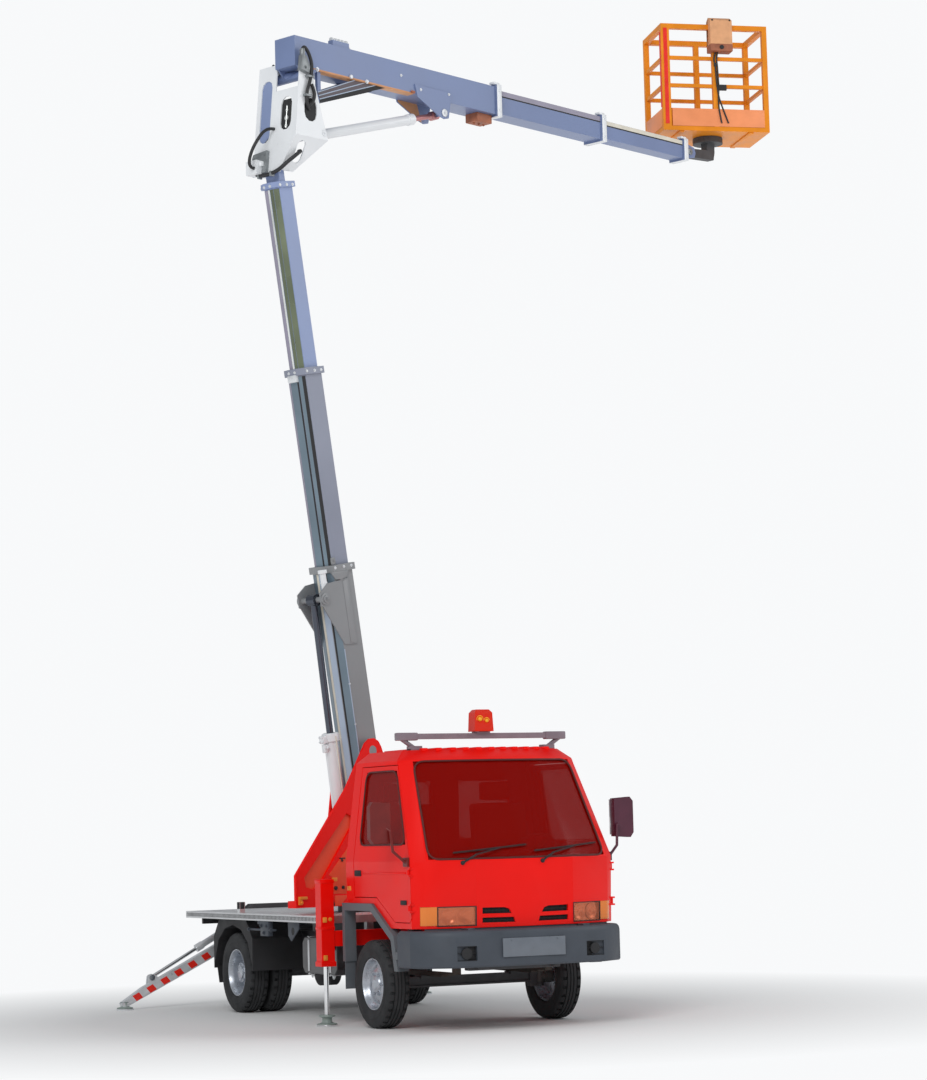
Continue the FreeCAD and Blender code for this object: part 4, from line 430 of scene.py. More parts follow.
# %% Bars, balls and bolts
def bar(bm, start, end, radius, segments=20, end_radius=None, ease=0.0):
    """A round bar or cone between two points."""
    start, end = Vector(start), Vector(end)
    way = end - start
    turn = way.to_track_quat("Z", "Y").to_matrix().to_4x4()
    place = Matrix.Translation((start + end) / 2) @ turn
    made = bmesh.ops.create_cone(bm, cap_ends=True, segments=segments, radius1=radius,
                                 radius2=radius if end_radius is None else end_radius,
                                 depth=way.length, matrix=place)["verts"]
    if ease:
        rims = [edge for edge in {e for vert in made for e in vert.link_edges}
                if any(len(face.verts) > 4 for face in edge.link_faces)]
        bmesh.ops.bevel(bm, geom=rims, offset=ease, segments=2, profile=0.5, affect="EDGES",
                        material=-1)
    return made


def ball(bm, centre, radius, segments=12):
    """A ball about a point."""
    bmesh.ops.create_uvsphere(bm, u_segments=segments, v_segments=segments // 2, radius=radius,
                              matrix=Matrix.Translation(centre))


def nut(bm, place, way, size=0.012, height=0.010):
    """A six-sided bolt head with a washer and a rounded stud."""
    place, way = Vector(place), Vector(way).normalized()
    bar(bm, place, place + way * height * 0.25, size * 1.35, 16)
    bar(bm, place, place + way * height, size, 6)
    bar(bm, place, place + way * height * 1.5, size * 0.5, 10)


print("blocks and bars ready")

# %% [markdown]
# ## Turned forms and flat plates
# A turned form is half an outline spun about Z, as on a lathe. A plate is a flat outline that is
# pushed to its thickness. Both start from a few vertices, because their outlines are easier to
# read than a cut block.

# %% Turned forms and slabs
def turned(bm, profile, steps=48):
    """A form turned about Z from (radius, height) points."""
    verts = [bm.verts.new((radius, 0, height)) for radius, height in profile]
    edges = [bm.edges.new(pair) for pair in zip(verts, verts[1:])]
    bmesh.ops.spin(bm, geom=verts + edges, cent=(0, 0, 0), axis=(0, 0, 1),
                   angle=math.tau, steps=steps, use_merge=True)
    bmesh.ops.remove_doubles(bm, verts=bm.verts[:], dist=1e-6)


def slab(bm, outline, low, high, plane="XZ", ease=0.0):
    """A flat outline given thickness along the axis that its plane leaves out."""
    order = {"XZ": lambda a, b, c: (a, c, b), "YZ": lambda a, b, c: (c, a, b),
             "XY": lambda a, b, c: (a, b, c)}[plane]
    verts = [bm.verts.new(order(a, b, low)) for a, b in outline]
    face = bm.faces.new(verts)
    pushed = bmesh.ops.extrude_face_region(bm, geom=[face])["geom"]
    moved = [item for item in pushed if isinstance(item, bmesh.types.BMVert)]
    bmesh.ops.translate(bm, vec=order(0, 0, high - low), verts=moved)
    made = verts + moved
    if ease:
        edges = list({edge for vert in made for edge in vert.link_edges})
        bmesh.ops.bevel(bm, geom=edges, offset=ease, segments=2, profile=0.5, affect="EDGES",
                        material=-1)
    return made


def merge(bm, form):
    """Adds a finished bmesh to another one."""
    holder = bpy.data.meshes.new("holder")
    form.to_mesh(holder)
    form.free()
    bm.from_mesh(holder)
    bpy.data.meshes.remove(holder)


print("turned forms ready")

# %% [markdown]
# ## From a form to a piece
# A piece is a mesh with one material that belongs to one moving body. This helper merges doubles,
# turns the faces outwards, lays the mesh in its frame and keeps the object at the origin.

# %% Pieces that ride on a body
def piece(name, bm, body, material, place=TRUCK, stands_for=(), angle=32):
    """Finishes a bmesh as an object that rides on a body."""
    bmesh.ops.remove_doubles(bm, verts=bm.verts[:], dist=1e-6)
    bmesh.ops.recalc_face_normals(bm, faces=bm.faces[:])
    mesh = bpy.data.meshes.new(name)
    bm.to_mesh(mesh)
    bm.free()
    mesh.transform(place)
    for face in mesh.polygons:
        face.use_smooth = True
    mesh.set_sharp_from_angle(angle=math.radians(angle))
    mesh.materials.append(material)
    item = bpy.data.objects.new(name, mesh)
    scene.collection.objects.link(item)
    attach(item, body)
    if stands_for:
        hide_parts(*stands_for)
    return item


print("piece helper ready")

# %% [markdown]
# ## Pipes and rubber rings
# A pipe is a smooth line with a round section. A curve makes it from a few control points, and its
# mesh is taken so that it can be finished like any other piece. The same curve, closed, gives the
# rubber round a window.

# %% Pipes and rings
def swept(name, runs, radius, roundness, resolution, order=3, closed=False):
    """A bmesh of round tubes along smooth lines, open with capped ends or closed into rings."""
    curve = bpy.data.curves.new(name, "CURVE")
    curve.dimensions = "3D"
    curve.bevel_depth = radius
    curve.bevel_resolution = roundness
    curve.resolution_u = resolution
    curve.use_fill_caps = not closed
    for points in runs:
        spline = curve.splines.new("NURBS")
        spline.points.add(len(points) - 1)
        for spot, point in zip(spline.points, points):
            spot.co = (*point, 1)
        spline.order_u = min(order, len(points))
        spline.use_cyclic_u = closed
        spline.use_endpoint_u = not closed
    holder = bpy.data.objects.new(name + "_line", curve)
    scene.collection.objects.link(holder)
    bpy.context.view_layer.update()
    graph = bpy.context.evaluated_depsgraph_get()
    mesh = bpy.data.meshes.new_from_object(holder.evaluated_get(graph))
    bpy.data.objects.remove(holder)
    bpy.data.curves.remove(curve)
    bm = bmesh.new()
    bm.from_mesh(mesh)
    bpy.data.meshes.remove(mesh)
    return bm


def pipe(name, runs, radius, body, material, place=TRUCK, order=3, resolution=6):
    """Fixed tubes or rods that follow smooth lines through control points."""
    bm = swept(name, runs, radius, 3, resolution, order)
    return piece(name, bm, body, material, place, angle=50)


print("pipes ready")

# %% [markdown]
# ## Eased edges on the main forms
# Sheet steel and moulded plastic never end in a razor edge. Each rigid form of the frame gets a
# close copy whose sharp edges are rounded by a few millimetres, so the light runs along them.

# %% Widths of the rounding
EASED = (  # node, width of the rounding in metres
    ("cab_shell", 0.009), ("door_left", 0.004), ("door_right", 0.004), ("bumper", 0.012),
    ("arch_mouldings", 0.006), ("roof_bar", 0.004), ("turret", 0.003), ("boom_base", 0.006),
    ("boom_middle", 0.006), ("boom_top", 0.006), ("elbow", 0.003), ("jib_base", 0.004),
    ("jib_middle", 0.004), ("jib_tip", 0.004), ("basket", 0.006), ("control_box", 0.008),
    ("basket_bracket", 0.004), ("front_leg_left", 0.005), ("front_leg_right", 0.005),
    ("rear_leg_left", 0.004), ("rear_leg_right", 0.004), ("front_leg_frame", 0.004),
    ("rear_leg_frame", 0.004), ("deck", 0.002), ("fuel_tank", 0.012), ("dashboard", 0.008),
    ("lift_barrel", 0.002), ("lift_rod", 0.002), ("jib_barrel", 0.002), ("jib_rod", 0.002),
    ("mirror_left", 0.006), ("mirror_right", 0.006), ("rear_mudguards", 0.003))
print("nodes with eased copies", len(EASED))

# %% [markdown]
# ## Making the copies
# The frame's mesh is loose triangles, so a copy is merged and its flat faces are made whole before
# a Bevel modifier rounds the sharp edges. The copy stands for its node and rides on its body.

# %% Eased copies
BODY_OF = {node: body for body, members in frame["record"]["behaviour"]["bodies"].items()
           for node in members}
SLOT_OF = {part["node"]: part["material_slot"] for part in frame["record"]["subparts"]}


def eased_copy(node, width):
    """A copy of a node whose flat faces are whole again and whose sharp edges are rounded."""
    bm = bmesh.new()
    bm.from_mesh(nodes[node].data)
    bmesh.ops.remove_doubles(bm, verts=bm.verts[:], dist=1e-5)
    bmesh.ops.dissolve_limit(bm, angle_limit=math.radians(1.5), verts=bm.verts[:],
                             edges=bm.edges[:])
    body = BODY_OF[node]
    slot = SLOT_OF[node]
    item = piece(node + "_dressed", bm, body, FINISHES[slot], stands_for=[node],
                 angle=30)
    rounding = item.modifiers.new("rounding", "BEVEL")
    rounding.width = width
    rounding.segments = 2
    rounding.limit_method = "ANGLE"
    rounding.angle_limit = math.radians(38)
    rounding.use_clamp_overlap = True
    rounding.harden_normals = True
    return item


dressed = {node: eased_copy(node, width) for node, width in EASED}
print("eased copies", len(dressed))


def repaint(node, paint):
    """Gives a node and its eased copy a paint of their own."""
    for item in (dressed[node], nodes[node]):
        item.data.materials[0] = paint

# %% [markdown]
# ## The cab's surface
# The cab is drawn as outlines at four heights, with straight lines between them. Reading the same
# outlines here gives the surface under any fitting, so that seals, lamps and slats follow its bow.

# %% Cab outlines
CAB_RINGS = (  # height, then the half outline from the nose to the rear corner as (x, y)
    (0.800, ((0, -2.885), (0.420, -2.845), (0.790, -2.720), (0.874, -2.631), (0.874, -1.400))),
    (1.320, ((0, -2.905), (0.420, -2.865), (0.790, -2.740), (0.880, -2.645), (0.880, -1.400))),
    (2.110, ((0, -2.455), (0.360, -2.421), (0.692, -2.309), (0.775, -2.221), (0.775, -1.420))),
    (2.190, ((0, -2.340), (0.330, -2.309), (0.620, -2.211), (0.690, -2.137), (0.690, -1.490))))


def cab_ring(height):
    """The half outline at a height."""
    for (low, start), (high, end) in zip(CAB_RINGS, CAB_RINGS[1:]):
        if height <= high:
            share = max(0.0, (height - low) / (high - low))
            return [(a + (c - a) * share, b + (d - b) * share)
                    for (a, b), (c, d) in zip(start, end)]
    return list(CAB_RINGS[-1][1])


def along(points, value, index):
    """Where a half outline meets a value of one coordinate: its other coordinate."""
    for start, end in zip(points, points[1:]):
        low, high = sorted((start[index], end[index]))
        if low <= value <= high and high > low:
            share = (value - start[index]) / (end[index] - start[index])
            return start[1 - index] + (end[1 - index] - start[1 - index]) * share
    return points[-1][1 - index]


def cab_front(x, height):
    """How far forward the cab reaches at a place across it and a height."""
    return along(cab_ring(height)[:4], abs(x), 0)


def cab_side(y, height):
    """Half the cab's width at a place along it and a height."""
    return along(cab_ring(height), y, 1)


print("cab width at the sill", 2 * cab_side(-1.5, 0.8))

# %% [markdown]
# ## Panels that follow the bow
# A lamp lens or a slat has to bend with the cab. A grid of a few columns is laid on the front
# surface and given depth, so that it stays parallel to the sheet metal behind it.

# %% Fitted panels
def front_patch(bm, x_range, z_range, proud, depth, columns=8, rows=2):
    """A panel that follows the bow of the cab's front, proud of it and with some depth."""
    grid = bmesh.ops.create_grid(bm, x_segments=columns, y_segments=rows, size=0.5)["verts"]
    for vert in grid:
        x = x_range[0] + (vert.co.x + 0.5) * (x_range[1] - x_range[0])
        z = z_range[0] + (vert.co.y + 0.5) * (z_range[1] - z_range[0])
        vert.co = (x, cab_front(x, z) - proud, z)
    faces = list({face for vert in grid for face in vert.link_faces})
    pushed = bmesh.ops.extrude_face_region(bm, geom=faces)["geom"]
    back = [item for item in pushed if isinstance(item, bmesh.types.BMVert)]
    bmesh.ops.translate(bm, vec=(0, depth, 0), verts=back)
    return grid + back


print("fitted panels ready")

# %% [markdown]
# ## Window rubber
# A thin round rubber runs round each window. A ring of points is laid on the cab's surface, inset
# at the corners so that the smooth curve rounds them. The windscreen, both doors and the two rear
# windows get one each.

# %% Window seals
def closed_ring(corners, surface, step=0.08, rounding=0.045):
    """Points round an outline with rounded corners, each laid on a surface."""
    points = []
    count = len(corners)
    for index in range(count):
        start, end = Vector(corners[index]), Vector(corners[(index + 1) % count])
        way = (end - start).normalized()
        first, last = start + way * rounding, end - way * rounding
        parts = max(2, int((last - first).length / step))
        points += [surface(*first.lerp(last, part / parts)) for part in range(parts + 1)]
    return points


def seal(name, rings, radius, body, material):
    """Rubber profiles that run all round their window openings."""
    return piece(name, swept(name, rings, radius, 2, 3, closed=True), body, material, angle=60)


seal_rubber = finish("seal_rubber", (0.085, 0.008, 0.006), 0.55, spread=0.1, patch=9)
SCREEN = ((-0.768, 1.330), (0.768, 1.330), (0.686, 2.098), (-0.686, 2.098))
seal("screen_seal", [closed_ring(SCREEN, lambda x, z: (x, cab_front(x, z) - 0.002, z))], 0.008,
     "cab", seal_rubber)
DOOR_WINDOW = ((-2.528, 1.450), (-1.650, 1.450), (-1.650, 2.030), (-2.234, 2.030))
for side, letter in SIDES:
    seal("door_seal_" + letter,
         [closed_ring(DOOR_WINDOW, lambda y, z: (side * (cab_side(y, z) + 0.001), y, z))],
         0.007, "door_" + letter, seal_rubber)
REAR_WINDOWS = (((-0.610, 1.480), (-0.120, 1.480), (-0.120, 1.960), (-0.580, 1.960)),
                ((0.120, 1.480), (0.610, 1.480), (0.580, 1.960), (0.120, 1.960)))
seal("rear_window_seals",
     [closed_ring(ring, lambda x, z: (x, cab_ring(z)[-1][1] + 0.001, z)) for ring in REAR_WINDOWS],
     0.008, "cab", seal_rubber)
print("window seals ready")

# %% [markdown]
# ## The dashboard
# Seen through red glass, a black dashboard would vanish. A warm plastic keeps its edge visible,
# because red glass swallows all other colours.

# %% Dashboard finish
warm_plastic = finish("warm_plastic", (0.38, 0.060, 0.026), 0.6, spread=0.12, patch=9, grain=1400,
                      relief=0.0003)
repaint("dashboard", warm_plastic)

# %% [markdown]
# ## The cab's nose
# Two pairs of open slots stand between the lamps, with a fine dark mesh at their backs. Each lamp
# has an amber flasher at its outer end and a clear lens over two bright bowls at its inner end.

# %% Grille mesh
amber = glass("amber_lens", (0.93, 0.27, 0.05), 0.10, 0.93)
reflector = finish("reflector", (0.80, 0.24, 0.12), 0.22, metallic=0.75, spread=0.12, patch=18)
MESH_WIRES, MESH_PITCH = 24, 0.0115
GRILLE_GAPS = ((0.128, 0.374, 0.902, 0.953), (0.098, 0.374, 0.833, 0.877))
bm = bmesh.new()
for side in (1, -1):
    for inner, outer, low, high in GRILLE_GAPS:
        front_patch(bm, sorted((side * inner, side * outer)), (low, high), -0.024, 0.004)
        for column in range(MESH_WIRES):
            x = side * (inner + 0.006 + column * MESH_PITCH)
            if abs(x) < outer:
                front_patch(bm, (x - 0.0016, x + 0.0016), (low, high), -0.015, 0.006, columns=1,
                            rows=1)
        middle = (low + high) / 2
        front_patch(bm, sorted((side * inner, side * outer)), (middle - 0.002, middle + 0.002),
                    -0.013, 0.006)
piece("grille_mesh", bm, "cab", black_plastic)
print("grille slots", 2 * len(GRILLE_GAPS))

# %% [markdown]
# ## Flashers and lamp frames
# The flasher is a ribbed amber block, and a thin black frame closes the gap round the clear lens.
# The ribs are fitted panels of a few millimetres, so that they catch the light as moulded ribs do.

# %% Flashers and bezels
bm = bmesh.new()
for side in (1, -1):
    front_patch(bm, sorted((side * 0.712, side * 0.824)), (0.824, 0.965), 0.004, 0.018)
    for rib in range(6):
        level = 0.838 + rib * 0.023
        front_patch(bm, sorted((side * 0.716, side * 0.820)), (level, level + 0.005), 0.007, 0.004,
                    rows=1)
piece("flasher_lenses", bm, "cab", amber)
bm = bmesh.new()
for side in (1, -1):
    ends = sorted((side * 0.424, side * 0.707))
    for low, high in ((0.815, 0.821), (0.961, 0.967)):
        front_patch(bm, ends, (low, high), 0.005, 0.022)
    for end in (*ends, side * 0.709):
        front_patch(bm, (end - 0.003, end + 0.003), (0.815, 0.967), 0.005, 0.022, columns=1)
piece("lamp_bezels", bm, "cab", black_plastic)
print("flashers and bezels ready")

# %% [markdown]
# ## Reflector bowls
# Behind the lens are two turned bowls with a bulb each. A shallow dish turned about its own axis
# and tilted a little outwards shows as a ring of light.

# %% Lamp bowls
def bowl(bm, centre, way, radius, depth):
    """A round reflector bowl with its bulb, open towards way."""
    dish = bmesh.new()
    turned(dish, [(0.012, -depth), (radius * 0.55, -depth * 0.72), (radius * 0.85, -depth * 0.38),
                  (radius, 0), (radius + 0.004, 0), (radius + 0.004, -depth * 0.4),
                  (radius * 0.6, -depth * 0.95), (0.012, -depth - 0.006)], 32)
    bar(dish, (0, 0, -depth), (0, 0, -depth * 0.3), 0.008, 12)
    place = Matrix.Translation(centre) @ Vector(way).to_track_quat("Z", "Y").to_matrix().to_4x4()
    bmesh.ops.transform(dish, matrix=place, verts=dish.verts[:])
    merge(bm, dish)


bm = bmesh.new()
for side in (1, -1):
    for x in (0.492, 0.622):
        y = cab_front(x, 0.892) + 0.012
        slope = Vector((side * (0.2 if x < 0.55 else 0.34), -1, 0))
        bowl(bm, (side * x, y, 0.892), slope, 0.058, 0.012)
    front_patch(bm, sorted((side * 0.428, side * 0.704)), (0.822, 0.960), -0.022, 0.004)
piece("lamp_bowls", bm, "cab", reflector)

# %% [markdown]
# ## Cab fittings
# Wipers, door handles, marker lamps, roof ribs and a blank number plate are the small things that
# give the cab its scale. The wipers come first: an arm of two bars, and a blade of six short ones
# that follows the bow of the windscreen.

# %% Wipers
bm = bmesh.new()
for pivot, tip in ((-0.52, -0.08), (0.14, 0.60)):
    base = Vector((pivot, cab_front(pivot, 1.300) - 0.004, 1.300))
    ball(bm, base, 0.018)
    elbow = Vector((pivot + 0.10, cab_front(pivot + 0.1, 1.36) - 0.035, 1.362))
    middle_x = (pivot + tip) / 2 + 0.08
    middle = Vector((middle_x, cab_front(middle_x, 1.405) - 0.026, 1.405))
    bar(bm, base, elbow, 0.008, 10)
    bar(bm, elbow, middle, 0.006, 10)
    for share in range(6):
        start = pivot - 0.06 + (tip + 0.16 - pivot) * share / 6
        end = pivot - 0.06 + (tip + 0.16 - pivot) * (share + 1) / 6
        lift = 1.378 + 0.05 * share / 6
        bar(bm, (start, cab_front(start, lift) - 0.012, lift),
            (end, cab_front(end, lift + 0.05 / 6) - 0.012, lift + 0.05 / 6), 0.0065, 8)
piece("wipers", bm, "cab", black_plastic)
print("wipers ready")

# %% [markdown]
# ## Handles, markers and swages
# A handle is a block with a bar across it. A long swage runs under the window, and small lamps
# sit on the door's front and the cab's rear corner. They come in pairs from one loop.

# %% Door fittings
for side, letter in SIDES:
    door_x = side * 0.8785
    bm = bmesh.new()
    eased_block(bm, (door_x - 0.010, -1.700, 1.205), (door_x + 0.010, -1.580, 1.252), 0.006)
    eased_block(bm, (door_x - 0.016, -1.686, 1.218), (door_x + 0.016, -1.600, 1.236), 0.005)
    piece("door_handle_" + letter, bm, "door_" + letter, black_plastic)
    bm = bmesh.new()
    eased_block(bm, (door_x - 0.006, -2.560, 1.222), (door_x + 0.006, -1.740, 1.238), 0.005)
    piece("door_swage_" + letter, bm, "door_" + letter, red_paint)
    bm = bmesh.new()
    eased_block(bm, (side * 0.872 - 0.010, -1.490, 1.088), (side * 0.872 + 0.010, -1.410, 1.126),
                0.006)
    piece("side_marker_" + letter, bm, "cab", amber)
    bm = bmesh.new()
    eased_block(bm, (door_x - 0.008, -2.560, 0.985), (door_x + 0.008, -2.455, 1.020), 0.005)
    piece("flasher_repeater_" + letter, bm, "door_" + letter, black_plastic)
print("door fittings ready")

# %% [markdown]
# ## Roof ribs and the blank plate
# Eleven ribs stiffen the roof and start where the front edge of the roof starts. The number plate
# is a plain plate with two screws.

# %% Roof ribs and plate
ROOF_RIBS, ROOF_PITCH = 11, 0.108
bm = bmesh.new()
for number in range(ROOF_RIBS):
    x = (number - ROOF_RIBS // 2) * ROOF_PITCH
    front_y = along(cab_ring(2.190)[:4], abs(x), 0)
    eased_block(bm, (x - 0.027, front_y - 0.006, 2.176), (x + 0.027, -1.50, 2.206), 0.012, 3)
piece("roof_ribs", bm, "cab", red_paint)

bm = bmesh.new()
eased_block(bm, (-0.272, -2.996, 0.572), (0.268, -2.984, 0.716), 0.004)
for x in (-0.2, 0.2):
    nut(bm, (x, -2.996, 0.70), (0, -1, 0), 0.006, 0.004)
plate_paint = finish("plate_paint", (0.16, 0.18, 0.21), 0.35, spread=0.06, patch=12)
piece("blank_plate", bm, "cab", plate_paint)
print("roof ribs", ROOF_RIBS)

# %% [markdown]
# ## Fog lamp recesses and roof bar clamps
# The bumper has a square hole at each side with a blank round lamp in it. A liner closes the back
# of the hole and shelves it. The roof bar stands on clamps, which are blocks wrapped round its
# ends.

# %% Bumper inserts and roof bar
bm = bmesh.new()
fog = bmesh.new()
for side in (1, -1):
    low, high = sorted((side * 0.472, side * 0.638))
    slant = Matrix.Rotation(math.radians(side * 6.5), 4, "Z")
    eased_block(bm, (low, -2.918, 0.550), (high, -2.908, 0.668), 0.002, turn=slant)
    for shelf in (0.553, 0.609, 0.661):
        eased_block(bm, (low + 0.004, -2.946, shelf), (high - 0.004, -2.910, shelf + 0.004),
                    0.001, turn=slant)
    lamp_form = bmesh.new()
    turned(lamp_form, [(0, 0.000), (0.030, -0.004), (0.040, -0.010), (0.043, -0.010),
                       (0.043, 0.006), (0, 0.010)], 32)
    bmesh.ops.transform(lamp_form, verts=lamp_form.verts[:], matrix=Matrix.Translation(
        (side * 0.555, -2.938, 0.609)) @ slant @ Matrix.Rotation(math.pi / 2, 4, "X"))
    merge(fog, lamp_form)
piece("fog_lamp_recesses", bm, "cab", black_plastic)
piece("fog_lamp_lenses", fog, "cab", black_plastic)
bm = bmesh.new()
for side in (1, -1):
    eased_block(bm, (side * 0.66 - 0.09, -2.183, 2.268), (side * 0.66 + 0.09, -2.117, 2.330),
                0.008)
    eased_block(bm, (side * 0.585 - 0.055, -2.196, 2.186), (side * 0.585 + 0.055, -2.104, 2.206),
                0.006)
piece("roof_bar_clamps", bm, "cab", mauve_paint)
print("bumper inserts ready")

# %% [markdown]
# ## Seats
# Foam under cloth is rounded, a little sunken and firmer at its edges. Each cushion starts as a
# block with a few edge loops, gets pushed in where a person sits, and is smoothed by subdivision.

# %% Cushions
def cushion(name, low, high, lean, body="cab", dent=0.018, stands_for=()):
    """A padded block between two corners, leaned back about X, with a sat-in middle."""
    bm = bmesh.new()
    low, high = Vector(low), Vector(high)
    made = bmesh.ops.create_cube(bm, size=1)["verts"]
    bmesh.ops.scale(bm, vec=high - low, verts=made)
    bmesh.ops.subdivide_edges(bm, edges=bm.edges[:], cuts=4, use_grid_fill=True)
    bmesh.ops.bevel(bm, geom=[e for e in bm.edges if e.calc_face_angle(0) > 1], offset=0.012,
                    segments=1, profile=0.5, affect="EDGES", material=-1)
    half = (high - low) / 2
    for vert in bm.verts:
        inward = 1 - min(1, max(abs(vert.co.x / half.x), abs(vert.co.y / half.y)))
        if vert.co.z > 0:
            vert.co.z -= dent * math.sin(inward * math.pi / 2)
    bmesh.ops.rotate(bm, matrix=Matrix.Rotation(math.radians(lean), 3, "X"), verts=bm.verts[:])
    bmesh.ops.translate(bm, vec=(low + high) / 2, verts=bm.verts[:])
    item = piece(name, bm, body, seat_cloth, stands_for=stands_for, angle=180)
    smooth = item.modifiers.new("smooth", "SUBSURF")
    smooth.levels = 2
    smooth.render_levels = 2
    return item


print("cushion helper ready")

# %% [markdown]
# ## Seats on their base
# A black box carries the cushions. A wide double seat and a driver's seat each have a cushion, a
# back that leans and a head rest.

# %% Seats in place
CAB_FLOOR, CAB_WALL = 0.990, 0.042
floor_top = CAB_FLOOR + CAB_WALL
bm = bmesh.new()
eased_block(bm, (-0.76, -1.99, floor_top), (0.76, -1.57, floor_top + 0.060), 0.006)
for x in (-0.44, 0.42):
    eased_block(bm, (x - 0.17, -1.66, floor_top + 0.05), (x + 0.17, -1.56, floor_top + 0.11), 0.006)
piece("seat_base", bm, "cab", black_plastic, stands_for=["seats"])
for x, width, letter in ((-0.44, 0.56, "wide"), (0.42, 0.48, "driver")):
    cushion("seat_cushion_" + letter, (x - width / 2, -2.095, floor_top + 0.062),
            (x + width / 2, -1.600, floor_top + 0.185), -3)
    cushion("seat_back_" + letter, (x - width / 2, -1.90, floor_top + 0.370),
            (x + width / 2, -1.28, floor_top + 0.480), 84)
    cushion("head_rest_" + letter, (x - 0.125, -1.59, floor_top + 0.790),
            (x + 0.125, -1.44, floor_top + 0.880), 88, dent=0.006)
print("cab fittings ready")

# %% [markdown]
# ## Tyres
# A tyre is one outline turned about the axle: bead, a bulging sidewall with two fine ribs, a round
# shoulder, and a tread with four grooves. Every third face along each shoulder is then pushed in,
# which leaves a row of rubber blocks.

# %% Tyre form
TYRE_HALF = (  # radius, distance from the middle plane, in metres
    (0.208, 0.072), (0.210, 0.078), (0.214, 0.085), (0.232, 0.0905), (0.254, 0.0955),
    (0.266, 0.0966), (0.268, 0.0980), (0.272, 0.0980), (0.274, 0.0970), (0.296, 0.0966),
    (0.312, 0.0945), (0.324, 0.0905), (0.326, 0.0912), (0.330, 0.0880), (0.341, 0.0800),
    (0.3470, 0.0700), (0.3490, 0.0560), (0.3492, 0.0500), (0.3410, 0.0485), (0.3410, 0.0415),
    (0.3496, 0.0400), (0.3500, 0.0190), (0.3415, 0.0175), (0.3415, 0.0105), (0.3500, 0.0090))
TYRE_STEPS = 90
AXLE_HEIGHT, FRONT_AXLE_Y, REAR_AXLE_Y = 0.35, -1.8, 1.1


def axle_place(x, y, outward):
    """Lays a turned form along an axle, its +Z face pointing outwards."""
    turn = Vector((outward, 0, 0)).to_track_quat("Z", "Y").to_matrix().to_4x4()
    return Matrix.Translation((x, y, AXLE_HEIGHT)) @ turn


def tyre_form(place):
    """One tyre as a bmesh mesh, laid in its place."""
    form = bmesh.new()
    profile = list(TYRE_HALF) + [(radius, -across) for radius, across in reversed(TYRE_HALF)]
    turned(form, profile, TYRE_STEPS)
    blocks = []
    for face in form.faces:
        middle = face.calc_center_median()
        radius = math.hypot(middle.x, middle.y)
        step = round((math.atan2(middle.y, middle.x) / math.tau) * TYRE_STEPS - 0.5)
        if 0.052 < abs(middle.z) < 0.079 and radius > 0.340 and step % 3 == 0:
            blocks.append(face)
    sipes = bmesh.ops.extrude_discrete_faces(form, faces=blocks)["faces"]
    for face in sipes:
        for vert in face.verts:
            away = Vector((vert.co.x, vert.co.y, 0)).normalized()
            vert.co -= away * 0.0065
    bmesh.ops.transform(form, matrix=place, verts=form.verts[:])
    return form


print("tyre steps", TYRE_STEPS)

# %% [markdown]
# ## Pressed steel rims
# The front rims stand forward, the rear ones are deep bowls, as on any truck with twin tyres. Each
# has a rolled lip, a drop well, a domed disc with hand holes, wheel nuts and a hub cap.

# %% Rim form
def rim_form(place, dish, hub, holes):
    """One pressed rim whose disc stands at a height along the axle, with hand holes."""
    form = bmesh.new()
    front = [(0.0, dish + 0.056), (hub - 0.034, dish + 0.056), (hub - 0.028, dish + 0.050),
             (hub - 0.018, dish + 0.048), (hub - 0.004, dish + 0.044), (hub, dish + 0.036),
             (hub + 0.004, dish + 0.031), (0.118, dish + 0.031), (0.126, dish + 0.027),
             (0.156, dish + 0.018), (0.166, dish + 0.020), (0.174, dish + 0.030),
             (0.180, max(dish + 0.046, 0.030)), (0.184, 0.052), (0.190, 0.064),
             (0.193, 0.074), (0.197, 0.080), (0.203, 0.0815), (0.2065, 0.078)]
    back = [(0.2070, 0.070), (0.2070, -0.070), (0.200, -0.078), (0.190, -0.072),
            (0.176, min(dish - 0.002, 0.020)), (0.150, dish + 0.004), (hub, dish),
            (hub, dish - 0.020), (0.0, dish - 0.020)]
    turned(form, front + back, 64)
    band = []
    for face in form.faces:
        middle = face.calc_center_median()
        radius = math.hypot(middle.x, middle.y)
        step = int((math.atan2(middle.y, middle.x) % math.tau) / math.tau * 64)
        if 0.127 < radius < 0.155 and middle.z > dish + 0.012 and step % (64 // holes) < 3:
            band.append(face)
    rimmed = bmesh.ops.inset_region(form, faces=band, thickness=0.003, depth=0.0015)
    sunk = bmesh.ops.extrude_face_region(form, geom=band)["geom"]
    verts = [item for item in sunk if isinstance(item, bmesh.types.BMVert)]
    bmesh.ops.translate(form, vec=(0, 0, -0.011), verts=verts)
    for number in range(6):
        turn = math.tau * number / 6
        spot = Vector((math.cos(turn), math.sin(turn), 0)) * (hub + 0.018)
        spot.z = dish + 0.030
        nut(form, spot, (0, 0, 1), 0.0125, 0.016)
    bar(form, (0.168, 0, dish + 0.026), (0.172, 0, dish + 0.066), 0.0045, 12)
    bmesh.ops.transform(form, matrix=place, verts=form.verts[:])
    return form, len(rimmed["faces"])


print("rim helper ready")

# %% [markdown]
# ## Wheels on their axles
# Each front wheel turns on its own spindle. The rear wheels are twins: two tyres back to back, so
# the outer rim is dished inwards, and a hub with a ring of nuts holds both.

